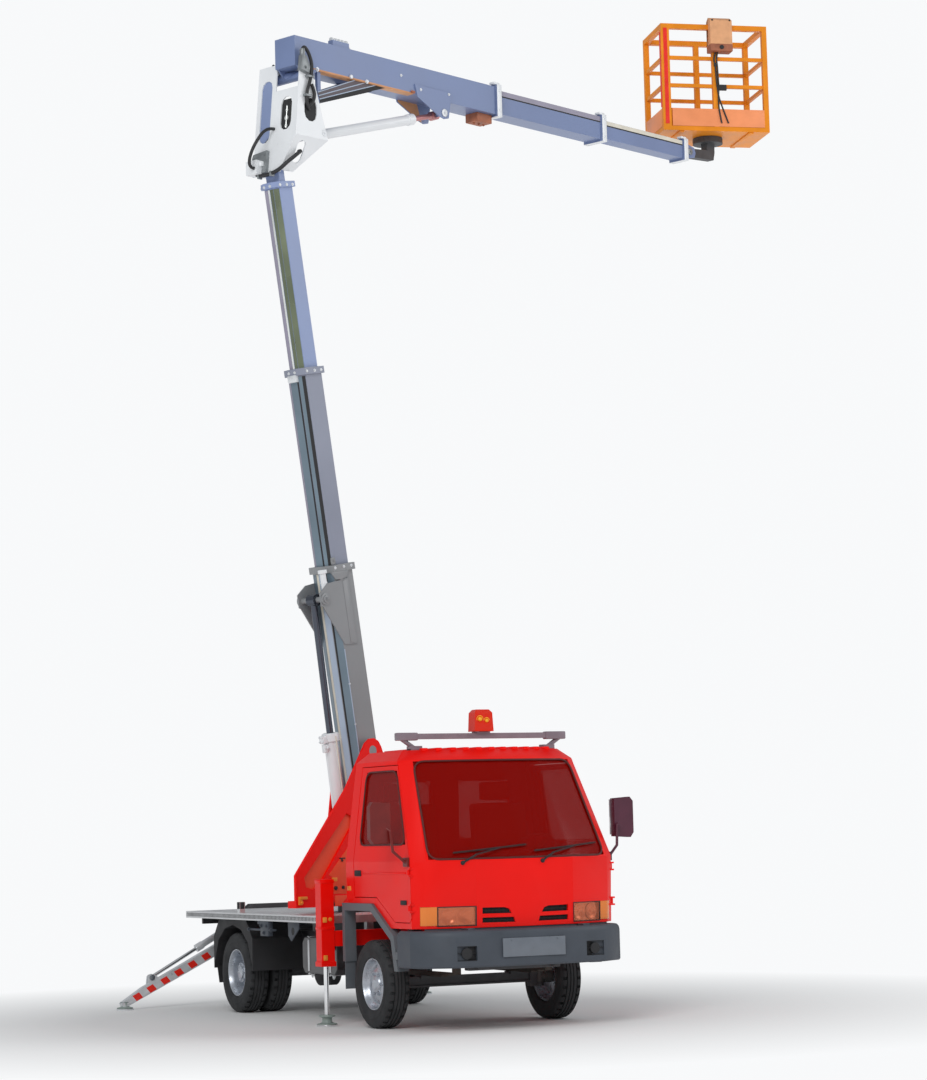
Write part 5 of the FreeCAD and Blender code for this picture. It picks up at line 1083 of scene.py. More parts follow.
# %% Wheels in place
rim_paint = finish("wheel_silver", (0.50, 0.53, 0.58), 0.30, metallic=0.65, spread=0.08, patch=12,
                   grain=900, relief=0.0001)
FRONT_WHEEL_X, REAR_PAIR_X, TWIN_SHIFT = 0.763, 0.680, 0.111
for side, letter in SIDES:
    body = "front_wheel_" + letter
    front = axle_place(side * FRONT_WHEEL_X, FRONT_AXLE_Y, side)
    piece(body + "_tyre", tyre_form(front), body, tyre_rubber,
          stands_for=["front_tyre_" + letter], angle=28)
    rim, edges = rim_form(front, 0.014, 0.070, 8)
    piece(body + "_rim", rim, body, rim_paint, stands_for=["front_rim_" + letter], angle=28)
    body = "rear_wheels_" + letter
    tyres, rims = bmesh.new(), bmesh.new()
    for shift in (1, -1):
        x = side * (REAR_PAIR_X + shift * TWIN_SHIFT)
        merge(tyres, tyre_form(axle_place(x, REAR_AXLE_Y, side)))
        merge(rims, rim_form(axle_place(x, REAR_AXLE_Y, side * shift), -0.0715, 0.090, 8)[0])
    for inner, outer, radius, segments, ease in ((0.60, 0.83, 0.088, 40, 0.004),
                                                 (0.83, 0.842, 0.060, 32, 0.003)):
        bar(rims, (side * inner, REAR_AXLE_Y, AXLE_HEIGHT),
            (side * outer, REAR_AXLE_Y, AXLE_HEIGHT), radius, segments, ease=ease)
    for number in range(8):
        turn = math.tau * number / 8
        nut(rims, (side * 0.830, REAR_AXLE_Y + 0.074 * math.cos(turn),
                   AXLE_HEIGHT + 0.074 * math.sin(turn)), (side, 0, 0), 0.008, 0.008)
    piece(body + "_tyres", tyres, body, tyre_rubber, stands_for=["rear_tyres_" + letter], angle=28)
    piece(body + "_rims", rims, body, rim_paint, stands_for=["rear_rims_" + letter], angle=28)
print("wheels with", edges, "faces round the hand holes")

# %% [markdown]
# ## The turret's sides
# The near side plate has a long slanted window with a paler sheet behind it, and a paler service
# panel with three knobs. A thin skin behind the opening is enough for the first, and a raised
# panel with a dark hose for the second.

# %% Turret panels
pale_red = finish("pale_red", (0.88, 0.095, 0.040), 0.42, spread=0.06, patch=4, shine=0.25)
amber_rubber = finish("amber_rubber", (0.85, 0.28, 0.03), 0.5, spread=0.1, patch=20)
bm = bmesh.new()
slab(bm, ((-1.075, 1.185), (-1.045, 1.100), (-0.960, 1.080), (-0.870, 1.110), (-0.465, 1.605),
          (-0.455, 1.700), (-0.540, 1.735)), -0.1775, -0.170)
slab(bm, ((-0.771, 1.205), (-0.690, 1.165), (-0.728, 1.120), (-0.728, 1.046), (-0.470, 1.040),
          (-0.470, 1.500), (-0.520, 1.445)), -0.2035, -0.199, ease=0.002)
slab(bm, ((-0.704, 1.030), (-0.537, 1.030), (-0.640, 0.945), (-0.704, 0.945)), -0.2035, -0.199,
     ease=0.002)
piece("turret_panels", bm, "turret", pale_red, TURRET)
print("turret panels ready")

# %% [markdown]
# ## Knobs, hose and the slewing ring
# Three knobs and a lever stand on the service panel, with a thin hose down its edge.
# Twenty-four bolts in a ring hold the turret's foot. They are placed by one loop over the angle.

# %% Turret knobs, hose and bolts
bm = bmesh.new()
for u, w, radius in ((-0.696, 1.093, 0.017), (-0.608, 1.097, 0.014), (-0.550, 1.090, 0.014)):
    bar(bm, (u, -0.202, w), (u, -0.216, w), radius, 20, ease=0.003)
eased_block(bm, (-0.508, -0.208, 1.050), (-0.498, -0.200, 1.130), 0.002)
bar(bm, (-0.615, -0.203, 1.330), (-0.615, -0.214, 1.318), 0.009, 12)
eased_block(bm, (-0.640, -0.209, 1.336), (-0.575, -0.200, 1.346), 0.002)
piece("turret_knobs", bm, "turret", black_plastic, TURRET)
pipe("turret_hose", [((-0.738, -0.209, 1.115), (-0.748, -0.212, 1.080), (-0.740, -0.212, 1.000),
                      (-0.722, -0.212, 0.955), (-0.712, -0.196, 0.945))], 0.006, "turret",
     hose_rubber, TURRET)
bm = bmesh.new()
eased_block(bm, (-1.135, -0.214, 0.965), (-1.095, -0.196, 1.035), 0.006)
eased_block(bm, (-1.122, -0.220, 1.010), (-1.040, -0.196, 1.034), 0.005)
bar(bm, (-1.108, -0.212, 0.985), (-1.108, -0.226, 0.985), 0.012, 12, ease=0.003)
eased_block(bm, (-0.735, -0.206, 1.150), (-0.672, -0.197, 1.182), 0.004)
piece("turret_fittings", bm, "turret", amber_rubber, TURRET)
RING_BOLTS, RING_RADIUS = 24, 0.245
ring_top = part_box("turret")[0][2] + 0.012
bm = bmesh.new()
for number in range(RING_BOLTS):
    turn = math.tau * number / RING_BOLTS
    nut(bm, (RING_RADIUS * math.cos(turn), RING_RADIUS * math.sin(turn), ring_top), (0, 0, 1),
        0.009, 0.010)
piece("turret_bolts", bm, "turret", cast_iron)
print("turret bolts", RING_BOLTS)

# %% [markdown]
# ## The booms' faces
# Each boom section has a folded face towards its lifting cylinder. Steel wear strips and the lines
# of the extension system run along it, so the face reads as long stripes: dark, steel and bright.
# Strips are only a millimetre or two thick, because the sections slide inside one another.

# %% Steels and the strip helper
bright_steel = finish("bright_steel", (0.86, 0.88, 0.86), 0.22, metallic=0.6, spread=0.10, patch=4)
olive_steel = finish("olive_steel", (0.17, 0.20, 0.13), 0.32, metallic=0.5, spread=0.16, patch=3)
teal_steel = finish("teal_steel", (0.17, 0.23, 0.28), 0.35, metallic=0.4, spread=0.14, patch=3)
sky_steel = finish("sky_steel", (0.42, 0.50, 0.62), 0.33, metallic=0.3, spread=0.08, patch=3)
cream_line = finish("cream_line", (0.72, 0.68, 0.58), 0.4, spread=0.08, patch=9)
dull_mauve = finish("dull_mauve", (0.30, 0.28, 0.36), 0.4, spread=0.10, patch=4)


def strip(bm, start, end, shares, span, thick=0.0015):
    """A thin strip on the wall between two corners of a section, from one height to another."""
    start, end = Vector(start), Vector(end)
    way = end - start
    out = Vector((way.y, -way.x)).normalized()
    if out.dot(start + end) < 0:
        out = -out
    near, far = start + way * shares[0], start + way * shares[1]
    outline = [near - out * 0.001, far - out * 0.001, far + out * thick, near + out * thick]
    slab(bm, [tuple(point) for point in outline], *span, plane="XY")


def fold_corners(index):
    """The corners of a boom section's folded face, from the far side to the near side."""
    x, y = 0.132 - 0.018 * index, 0.128 - 0.018 * index
    return (0.037 - x, y), (-x, 0.050), (-x, -0.050), (0.037 - x, -y)


print("boom walls", fold_corners(0))

# %% [markdown]
# ## Which strip lies where
# The table below lists the strips of each section: a wall of the fold, where they start and end
# across it, and their steel. Strips of one steel on one section are one piece. A strip starts only
# a little inside the next section, so it never comes out at the tail when the boom closes.

# %% Strips on the boom
BOOM_STRIPES = (  # section index, body, lowest and highest point, rows of wall, shares, finish
    (2, "boom_top", (3.05, 4.87),
     ((0, 0.10, 0.95, dull_mauve), (1, 0.02, 0.34, dull_mauve), (1, 0.36, 0.56, bright_steel),
      (1, 0.60, 0.98, olive_steel), (2, 0.02, 0.90, olive_steel))),
    (1, "boom_middle", (1.45, 3.26),
     ((0, 0.10, 0.95, dull_mauve), (1, 0.02, 0.80, teal_steel), (1, 0.80, 0.98, black_plastic),
      (2, 0.02, 0.45, teal_steel), (2, 0.45, 0.88, black_plastic))),
    (0, "boom_base", (-0.68, 1.56),
     ((0, 0.05, 0.95, teal_steel), (1, 0.02, 0.26, cream_line), (1, 0.28, 0.97, sky_steel),
      (2, 0.04, 0.22, black_plastic), (2, 0.22, 0.94, teal_steel))))
for index, body, span, rows in BOOM_STRIPES:
    corners = fold_corners(index)
    forms = {}
    for wall, first, last, steel in rows:
        form = forms.setdefault(steel.name, (steel, bmesh.new()))[1]
        strip(form, corners[wall], corners[wall + 1], (first, last), span)
    for steel_name, (steel, form) in forms.items():
        piece(body + "_" + steel_name, form, body, steel, BOOM)
print("boom strips on", len(BOOM_STRIPES), "sections")

# %% [markdown]
# ## Three tones and the base section's fittings
# The boom's sections have a tone each: the lowest is grey, the middle one duller blue and the top
# one clear blue. The base carries the pin bosses of the cylinder, wear plates and the fittings at
# its head.

# %% Boom paints and pin bosses
boom_grey = finish("boom_grey", (0.255, 0.265, 0.275), 0.40, coat=0.15, spread=0.12, patch=1.0,
                   grain=700, relief=0.00008)
boom_dusk = finish("boom_dusk", (0.245, 0.265, 0.34), 0.40, coat=0.15, spread=0.10, patch=1.2,
                   grain=700, relief=0.00008)
boom_sky = finish("boom_sky", (0.235, 0.30, 0.50), 0.38, coat=0.2, spread=0.12, patch=1.1,
                  grain=700, relief=0.00008)
for section, paint in (("boom_base", boom_grey), ("boom_middle", boom_dusk),
                       ("boom_top", boom_sky)):
    repaint(section, paint)
bm = bmesh.new()
LIFT_EYE_X, LIFT_EYE_Z = -0.258, 1.352
for side in (1, -1):
    turn_pin = Vector((LIFT_EYE_X, side * 0.140, LIFT_EYE_Z))
    bar(bm, turn_pin, turn_pin + Vector((0, side * 0.012, 0)), 0.052, 28, ease=0.003)
    bar(bm, turn_pin, turn_pin + Vector((0, side * 0.026, 0)), 0.034, 28, ease=0.003)
    nut(bm, turn_pin + Vector((0, side * 0.026, 0)), (0, side, 0), 0.014, 0.010)
    slab(bm, ((-0.02, 0.945), (0.052, 0.940), (0.052, 1.490), (-0.02, 1.478)),
         *sorted((side * 0.139, side * 0.1435)), ease=0.0015)
eased_block(bm, (-0.110, -0.138, 1.630), (-0.066, -0.120, 1.690), 0.004)
nut(bm, (-0.088, -0.138, 1.665), (0, -1, 0), 0.012, 0.008)
slab(bm, ((-0.150, 1.565), (0.060, 1.565), (0.040, 1.520), (-0.030, 1.492), (-0.110, 1.505)),
     -0.151, -0.138, ease=0.003)
piece("boom_base_fittings", bm, "boom_base", boom_grey, BOOM)
print("boom base dressed")

# %% [markdown]
# ## A valve and the collar bolts
# A valve with two rings stands beside the cylinder's eye. Bolts in a ring close each collar, a row
# of small ones runs along the base, and one thin line follows its edge.

# %% Sequence valve and boom bolts
bm = bmesh.new()
bar(bm, (-0.205, -0.100, 1.395), (-0.205, -0.100, 1.575), 0.027, 24, ease=0.003)
bar(bm, (-0.205, -0.100, 1.480), (-0.205, -0.100, 1.496), 0.031, 24, ease=0.003)
bar(bm, (-0.205, -0.100, 1.566), (-0.205, -0.100, 1.600), 0.040, 24, ease=0.006)
bar(bm, (-0.205, -0.100, 1.300), (-0.205, -0.100, 1.400), 0.014, 16)
piece("boom_sequence_valve", bm, "boom_base", white_paint, BOOM)
bm = bmesh.new()
for index, head, body in ((1, 3.290, "boom_middle"), (2, 4.890, "boom_top")):
    x, y = 0.152 - 0.018 * index, 0.148 - 0.018 * index
    form = bmesh.new()
    for side in (1, -1):
        for share in (-0.6, 0.1, 0.7):
            nut(form, (x * share, side * y, head + 0.008), (0, side, 0), 0.010, 0.007)
        nut(form, (x, side * 0.05, head + 0.008), (1, 0, 0), 0.010, 0.007)
        nut(form, (-x, side * 0.035, head + 0.008), (-1, 0, 0), 0.010, 0.007)
    if index == 1:
        eased_block(form, (-x - 0.016, -0.050, head - 0.075), (-x + 0.040, 0.050, head - 0.012),
                    0.008)
    piece(body + "_collar_bolts", form, body, silver_paint, BOOM)
for side in (1, -1):
    for share in (-0.6, 0.1, 0.7):
        nut(bm, (0.152 * share, side * 0.148, 1.600), (0, side, 0), 0.010, 0.007)
for level in (-0.45, -0.1, 0.25, 0.6):
    nut(bm, (-0.098, -0.1305, level), (0, -1, 0), 0.008, 0.006)
piece("boom_base_bolts", bm, "boom_base", silver_paint, BOOM)
pipe("boom_edge_line", [((-0.101, -0.1325, -0.66), (-0.101, -0.1325, 0.90))], 0.0045, "boom_base",
     sky_steel, BOOM)
print("boom bolts and line ready")

# %% [markdown]
# ## The lifting cylinder
# The cylinder's rod is chrome, and its dark colour is a painted reflection of what it mirrors.
# Its barrel is white, and a white gland with a bolted valve block closes the barrel's top. They
# are placed along the line between the cylinder's two pins.

# %% Lifting cylinder
lift_foot = joint_place("lift_barrel_swing")
lift_head = BOOM @ Vector((LIFT_EYE_X, 0, LIFT_EYE_Z))
lift_way = (lift_head - lift_foot).normalized()
LIFT = frame_matrix(lift_foot, ACROSS.cross(lift_way), ACROSS, lift_way)
lift_span = (lift_head - lift_foot).length
barrel_corners = [LIFT.inverted() @ vert.co for vert in nodes["lift_barrel"].data.vertices]
barrel_end = max(corner.z for corner in barrel_corners)
barrel_wide = max(math.hypot(corner.x, corner.y) for corner in barrel_corners
                  if corner.z > barrel_end - 0.05)
# Painted reflection: the chrome rod is coloured dark for the dark surroundings it mirrors.
rod_dark_reflection = finish("rod_dark_reflection", (0.085, 0.095, 0.12), 0.22, metallic=0.7, spread=0.10, patch=6)
repaint("lift_rod", rod_dark_reflection)
bm = bmesh.new()
turned(bm, [(barrel_wide - 0.012, barrel_end + 0.003), (barrel_wide - 0.008, barrel_end + 0.010),
            (barrel_wide + 0.006, barrel_end + 0.004), (barrel_wide + 0.009, barrel_end - 0.004),
            (barrel_wide + 0.009, barrel_end - 0.060), (barrel_wide + 0.003, barrel_end - 0.066),
            (barrel_wide - 0.006, barrel_end - 0.066)])
eased_block(bm, (-barrel_wide - 0.050, -0.030, barrel_end - 0.072),
            (-barrel_wide + 0.010, 0.026, barrel_end - 0.004), 0.006)
eased_block(bm, (-barrel_wide - 0.038, -0.024, barrel_end - 0.150),
            (-barrel_wide + 0.012, 0.020, barrel_end - 0.078), 0.008)
for level, side in ((-0.018, 1), (-0.018, -1), (-0.056, 1), (-0.056, -1)):
    nut(bm, (-barrel_wide - 0.048, side * 0.016, barrel_end + level), (-1, 0, 0), 0.009, 0.010)
nut(bm, (-barrel_wide - 0.012, -0.028, barrel_end - 0.11), (0, -1, 0), 0.013, 0.014)
piece("lift_gland", bm, "lift_barrel", white_paint, LIFT)
pipe("lift_line", [((-0.012, -barrel_wide - 0.008, barrel_end - 0.02),
                    (-0.012, -barrel_wide - 0.012, barrel_end * 0.6),
                    (-0.012, -barrel_wide - 0.008, 0.12))], 0.006, "lift_barrel", cream_line, LIFT)
print("lifting cylinder", round(lift_span, 3), "m between pins, barrel to", round(barrel_end, 3))

# %% [markdown]
# ## The elbow's clamp blocks
# Steel blocks on the elbow's plates hold its hoses. The first is drawn in a frame that follows the
# sloped plate, so that it lies flat on it. The second stands on the near side plate.

# %% Elbow clamps
elbow_slope = math.atan2(0.110, 0.965)
PLATE = ELBOW @ Matrix.Translation((-0.060, 0, -0.060)) @ Matrix.Rotation(elbow_slope, 4, "Y")
clamp_steel = finish("clamp_steel", (0.27, 0.29, 0.30), 0.4, metallic=0.5, spread=0.2, patch=12,
                     grain=500, relief=0.0003)
bm = bmesh.new()
slab(bm, ((0.010, 0.005), (0.202, 0.005), (0.202, 0.120), (0.180, 0.190), (0.010, 0.205)),
     -0.034, 0.002, plane="YZ", ease=0.004)
for v, w in ((0.035, 0.170), (0.170, 0.150), (0.170, 0.045)):
    nut(bm, (-0.034, v, w), (-1, 0, 0), 0.010, 0.008)
piece("elbow_clamps", bm, "elbow", clamp_steel, PLATE)
bm = bmesh.new()
slab(bm, ((0.012, 0.800), (0.110, 0.780), (0.118, 0.860), (0.085, 0.930), (0.030, 0.930)),
     -0.346, -0.2985, ease=0.004)
bar(bm, (0.052, -0.324, 0.900), (0.052, -0.324, 0.985), 0.024, 20, ease=0.005)
nut(bm, (0.070, -0.346, 0.825), (0, -1, 0), 0.013, 0.010)
piece("elbow_hose_block", bm, "elbow", clamp_steel, ELBOW)
print("elbow clamps ready")

# %% [markdown]
# ## Sheets behind the openings
# The elbow is open, and behind its oval windows one sees the blue of the section inside and
# hollows in shade. A thin sheet stands for each: the blue one for the section, and black ones as
# painted shade for the hollows.

# %% Sheets behind the elbow's openings
bm = bmesh.new()
slab(bm, ((0.015, 0.190), (0.165, 0.190), (0.165, 0.855), (0.015, 0.855)), 0.0125, 0.017,
     plane="YZ")
piece("elbow_blue_sheet", bm, "elbow", boom_sky, PLATE)
# Painted shade: black sheets stand for the shadowed hollows behind the windows.
bm = bmesh.new()
slab(bm, ((-0.240, 0.300), (-0.090, 0.300), (-0.090, 0.640), (-0.240, 0.640)), 0.0125, 0.017,
     plane="YZ")
slab(bm, ((0.020, 0.200), (0.160, 0.200), (0.160, 0.300), (0.110, 0.280), (0.020, 0.345)), 0.0105,
     0.0135, plane="YZ")
piece("elbow_hollow_shade", bm, "elbow", black_plastic, PLATE)
# Painted shade: a black sheet behind the near plate's window stands for the hollow's shade.
bm = bmesh.new()
slab(bm, ((0.075, 0.365), (0.245, 0.365), (0.245, 0.595), (0.075, 0.595)), -0.2875, -0.284)
piece("elbow_side_hollow_shade", bm, "elbow", black_plastic, ELBOW)
print("elbow sheets ready")

# %% [markdown]
# ## Hoses along the elbow
# Two hoses run down the near plate and one round the lower edge. They are fixed, because clips
# hold them, and their routes follow the plates in millimetres. A short bridge hose stands over the
# top strap. Unions, clips and pin caps are added round them.

# %% Elbow lines and clips
bm = bmesh.new()
for level, radius in ((0.40, 0.016), (0.47, 0.022), (0.54, 0.014)):
    bar(bm, (0.0125, -0.165, level), (0.004, -0.165, level), radius, 16, ease=0.002)
bar(bm, (0.008, -0.165, 0.38), (0.008, -0.165, 0.58), 0.007, 12)
piece("elbow_unions", bm, "elbow", bright_steel, PLATE)
elbow_mm = ELBOW @ Matrix.Scale(0.001, 4)
pipe("elbow_line_high",
     [((52, -324, 970), (58, -326, 1010), (100, -330, 990), (150, -332, 900), (158, -328, 800),
       (132, -324, 710), (100, -322, 630), (92, -320, 560), (112, -312, 500), (150, -289, 480)),
      ((165, -312, 700), (196, -318, 640), (188, -318, 570), (150, -314, 520),
       (135, -289, 505))], 15, "elbow", hose_rubber, elbow_mm)
pipe("elbow_line_low",
     [((-82, 165, -20), (-88, 120, -62), (-90, 40, -76), (-88, -60, -72), (-78, -150, -48),
       (-40, -205, 12), (10, -245, 62), (50, -262, 100), (86, -246, 120), (100, -205, 122))],
     17, "elbow", hose_rubber, elbow_mm)
pipe("elbow_bridge_hose", [((82, 60, 862), (82, 60, 905), (108, 90, 930), (135, 120, 905),
                            (135, 120, 862))], 14, "elbow", hose_rubber, elbow_mm)
bm = bmesh.new()
for u, w in ((0.130, 0.760), (0.100, 0.590)):
    eased_block(bm, (u - 0.030, -0.340, w - 0.010), (u + 0.044, -0.297, w + 0.010), 0.004)
for v in (-0.06, 0.09):
    eased_block(bm, (-0.108, v - 0.010, -0.096), (-0.060, v + 0.010, -0.052), 0.004)
piece("elbow_clips", bm, "elbow", clamp_steel, ELBOW)
bm = bmesh.new()
for u, w, radius in ((0.320, 0.300, 0.030), (0.150, 0.800, 0.032)):
    bar(bm, (u, -0.299, w), (u, -0.306, w), radius, 24, ease=0.002)
    nut(bm, (u, -0.306, w), (0, -1, 0), 0.013, 0.008)
piece("elbow_pin_caps", bm, "elbow", silver_paint, ELBOW)
print("elbow dressed")

# %% [markdown]
# ## The jib's faces and braces
# The jib is a box section seen from below, with a warm line along its lower edge, brown braces
# under it and white collars round its joints. Thin skins and edge lines give each its own finish.

# %% Jib paints and lower edge
warm_line = finish("warm_line", (0.62, 0.30, 0.14), 0.5, spread=0.15, patch=8)
brace_brown = finish("brace_brown", (0.105, 0.085, 0.098), 0.5, spread=0.15, patch=5)
rust_block = finish("rust_block", (0.36, 0.12, 0.06), 0.6, spread=0.25, patch=14, grain=500,
                    relief=0.0004)
rose_rod = finish("rose_rod", (0.46, 0.20, 0.20), 0.3, metallic=0.5, spread=0.1, patch=9)
bm = bmesh.new()
eased_block(bm, (0.057, -0.1215, 0.050), (1.335, -0.1185, 0.060), 0.001)
eased_block(bm, (0.160, -0.120, 0.0465), (1.335, -0.040, 0.0505), 0.001)
piece("jib_warm_line", bm, "jib_base", warm_line, JIB)
bm = bmesh.new()
eased_block(bm, (2.235, -0.075, -0.033), (2.435, 0.075, 0.049), 0.006)
for x in (2.27, 2.335, 2.40):
    nut(bm, (x, 0, -0.033), (0, 0, -1), 0.010, 0.009)
eased_block(bm, (1.300, -0.1375, 0.052), (1.345, -0.120, 0.075), 0.004)
piece("jib_under_block", bm, "jib_base", rust_block, JIB)
print("jib lower edge ready")

# %% [markdown]
# ## Braces under the jib
# Two triangular braces rise from below the jib's pivot to its underside. Each face gets a thin
# skin in two tones, cut from one pair of lines: brown, and black painted shade on the lower third.
# Pale steel lines along the edges are painted highlights.

# %% Braces under the jib
UPPER_EDGE, LOWER_EDGE = ((0.150, -0.135), (0.610, 0.050)), ((0.174, -0.224), (1.000, 0.050))


def brace_line(share):
    """A line across the braces, from their upper edge at 0 to their lower edge at 1."""
    return [tuple(a + (b - a) * share for a, b in zip(upper, lower))
            for upper, lower in zip(UPPER_EDGE, LOWER_EDGE)]


# The lower third, from 0.66 to 1, is black painted shade under the braces.
for name, paint, first, last in (("brace_skins", brace_brown, 0.0, 0.66),
                                 ("brace_painted_shade", black_plastic, 0.66, 1.0)):
    bm = bmesh.new()
    outline = brace_line(first) + brace_line(last)[::-1]
    for low, high in ((-0.102, -0.0995), (0.0995, 0.102), (-0.0705, -0.068), (0.068, 0.0705)):
        slab(bm, outline, low, high)
    piece("jib_" + name, bm, "jib_base", paint, JIB)
# Painted highlight: pale steel lines stand for the glint on the braces' edges.
pipe("jib_brace_highlights", [tuple((x, y, z) for x, z in brace_line(share)) for share in
                         (0.0, 0.33, 0.66) for y in (-0.102, 0.102)], 0.005, "jib_base",
     sky_steel, JIB)
print("jib braces ready")

# %% [markdown]
# ## Bolts, pins and the rod's eye
# Bolts and pins stand on the jib's sides. A ribbed coupling, made of five short rings on a bar,
# lies on top of the jib, and a warm skin lies on the far lug of the cylinder's eye.

# %% Jib bolts and rod end
bm = bmesh.new()
for x in (0.127, 0.738):
    nut(bm, (x, -0.122, 0.055), (0, -1, 0), 0.014, 0.012)
bar(bm, (0.536, -0.122, 0.062), (0.536, -0.140, 0.062), 0.018, 20, ease=0.004)
for x, z in ((1.180, 0.190), (1.420, 0.100), (1.790, 0.120)):
    nut(bm, (x, -0.121 if x < 1.3 else -0.133, z), (0, -1, 0), 0.010, 0.008)
for side in (1, -1):
    bar(bm, (1.724, side * 0.132, -0.060), (1.724, side * 0.142, -0.060), 0.036, 24, ease=0.003)
    nut(bm, (1.724, side * 0.142, -0.060), (0, side, 0), 0.015, 0.010)
bar(bm, (0.350, -0.080, 0.366), (0.530, -0.080, 0.366), 0.013, 16)
for x in (0.352, 0.400, 0.440, 0.480, 0.528):
    bar(bm, (x - 0.010, -0.080, 0.366), (x + 0.010, -0.080, 0.366), 0.021, 20, ease=0.003)
nut(bm, (0.560, -0.080, 0.311), (0, 0, 1), 0.016, 0.018)
piece("jib_bolts", bm, "jib_base", silver_paint, JIB)
bm = bmesh.new()
slab(bm, ((1.352, 0.138), (1.384, 0.034), (1.664, -0.098), (1.690, -0.106), (1.600, 0.138)),
     0.117, 0.1205)
piece("jib_eye_shade", bm, "jib_base", warm_line, JIB)
print("jib bolts ready")

# %% [markdown]
# ## Collars
# Each section ends in a white collar. A thin skin is laid round the frame's collar, one plate for
# each side, with two bolts on each flank and a block on top.

# %% Collars on the jib
JIB_HEADS = (("jib_base", 2.464, 0), ("jib_middle", 4.004, 1), ("jib_tip", 5.304, 2))
JIB_MIDDLE, SKIN = 0.180, 0.002
for body, head, index in JIB_HEADS:
    half_y, half_z = 0.140 - 0.021 * index, 0.150 - 0.021 * index
    first, last = head - 0.020, head + 0.040
    bm = bmesh.new()
    for side in (1, -1):
        low, high = sorted((side * (half_y - SKIN), side * (half_y + SKIN)))
        eased_block(bm, (first - 0.001, low, JIB_MIDDLE - half_z - SKIN),
                    (last + 0.001, high, JIB_MIDDLE + half_z + SKIN), 0.0015)
        level = JIB_MIDDLE + side * half_z
        eased_block(bm, (first - 0.001, -half_y, level - SKIN),
                    (last + 0.001, half_y, level + SKIN), 0.0015)
        for z in (0.090, 0.270):
            nut(bm, (head + 0.010, side * (half_y + SKIN), z), (0, side, 0), 0.011, 0.008)
    eased_block(bm, (first - 0.030, -half_y + 0.010, JIB_MIDDLE + half_z),
                (last - 0.010, -half_y + 0.070, JIB_MIDDLE + half_z + 0.022), 0.006)
    piece(body + "_collar_skin", bm, body, white_paint, JIB)
print("jib collars", len(JIB_HEADS))

# %% [markdown]
# ## Strips and the tip's pin
# Thin lines run along the upper edge of the inner sections, and the rod has a rose tint. The tip
# carries the basket bracket's pin with a cap and two bolts on each side.

# %% Jib strips and tip
for body, span, half, top, rows in (
        ("jib_middle", (1.30, 3.975), 0.099, 0.289, ((0.000, 0.046, dull_mauve),
                                                     (0.046, 0.058, black_plastic))),
        ("jib_tip", (2.95, 5.275), 0.078, 0.268, ((0.002, 0.040, cream_line),
                                                  (0.040, 0.052, black_plastic)))):
    for first, last, paint in rows:
        bm = bmesh.new()
        for side in (1, -1):
            low, high = sorted((side * (half - 0.001), side * (half + 0.0015)))
            eased_block(bm, (span[0], low, top - last), (span[1], high, top - first), 0)
        piece(body + "_" + paint.name, bm, body, paint, JIB)
repaint("jib_rod", rose_rod)
bm = bmesh.new()
pin_x = JIB_HEADS[2][1] + 0.115
for side in (1, -1):
    bar(bm, (pin_x, side * 0.062, JIB_MIDDLE), (pin_x, side * 0.070, JIB_MIDDLE), 0.034, 24,
        ease=0.002)
    nut(bm, (pin_x, side * 0.070, JIB_MIDDLE), (0, side, 0), 0.014, 0.008)
    for x, z in ((5.352, 0.235), (5.352, 0.125)):
        nut(bm, (x, side * 0.062, z), (0, side, 0), 0.010, 0.008)
piece("jib_tip_fittings", bm, "jib_tip", clamp_steel, JIB)
print("jib dressed")

# %% [markdown]
# ## The work basket
# The basket wears worn orange paint with red safety stripes on its posts. Its kick boards have
# faded to salmon. A tan control box hangs on the near rail over a rusty skirt, and two conduits
# run down from it.

# %% Basket stripes and kick boards
safety_red = finish("safety_red", (0.85, 0.02, 0.008), 0.4, coat=0.2, spread=0.08, patch=12)
salmon = finish("faded_orange", (0.93, 0.31, 0.12), 0.42, coat=0.1, spread=0.08, patch=5)
basket_at = BASKET @ Matrix.Translation((0, 0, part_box("basket")[0][2] - BASKET.translation.z))
bm = bmesh.new()
eased_block(bm, (-0.527, -0.3335, 0.065), (-0.488, -0.329, 1.035), 0.002)
eased_block(bm, (-0.5535, -0.306, 0.240), (-0.549, -0.268, 1.000), 0.002)
eased_block(bm, (0.515, 0.290, 0.240), (0.5535, 0.3335, 0.980), 0.002)
piece("basket_stripes", bm, "basket", safety_red, basket_at)
bm = bmesh.new()
for side in (1, -1):
    low, high = sorted((side * 0.3295, side * 0.3325))
    eased_block(bm, (-0.455, low, 0.046), (0.500, high, 0.224), 0.001)
    low, high = sorted((side * 0.5495, side * 0.5525))
    eased_block(bm, (low, -0.280, 0.046), (high, 0.280, 0.224), 0.001)
piece("basket_kick_skins", bm, "basket", salmon, basket_at)
print("basket stripes ready")

# %% [markdown]
# ## The basket's floor
# The floor is a tread plate: short raised bars that turn by ninety degrees from one to the next.
# Two ribs stiffen it from below.

# %% Basket floor
TREAD_ROWS, TREAD_COLUMNS, TREAD_PITCH = 9, 15, 0.07
bm = bmesh.new()
for row in range(TREAD_ROWS):
    y = -0.28 + row * TREAD_PITCH
    for column in range(TREAD_COLUMNS):
        x = -0.49 + column * TREAD_PITCH
        turn = Matrix.Rotation(math.radians(45 if (row + column) % 2 else -45), 4, "Z")
        eased_block(bm, (x - 0.018, y - 0.004, 0.040), (x + 0.018, y + 0.004, 0.0445), 0,
                    turn=turn)
piece("basket_floor_tread", bm, "basket", orange_paint, basket_at)
bm = bmesh.new()
for x in (-0.36, 0.36):
    eased_block(bm, (x - 0.025, -0.315, -0.0125), (x + 0.025, 0.315, 0.006), 0.003)
piece("basket_floor_ribs", bm, "basket", orange_paint, basket_at)

# %% [markdown]
# ## The control box
# A rusty skirt, a round switch and two screws dress the box. Two conduits run from it to the
# floor, as fixed pipes held by two clips.

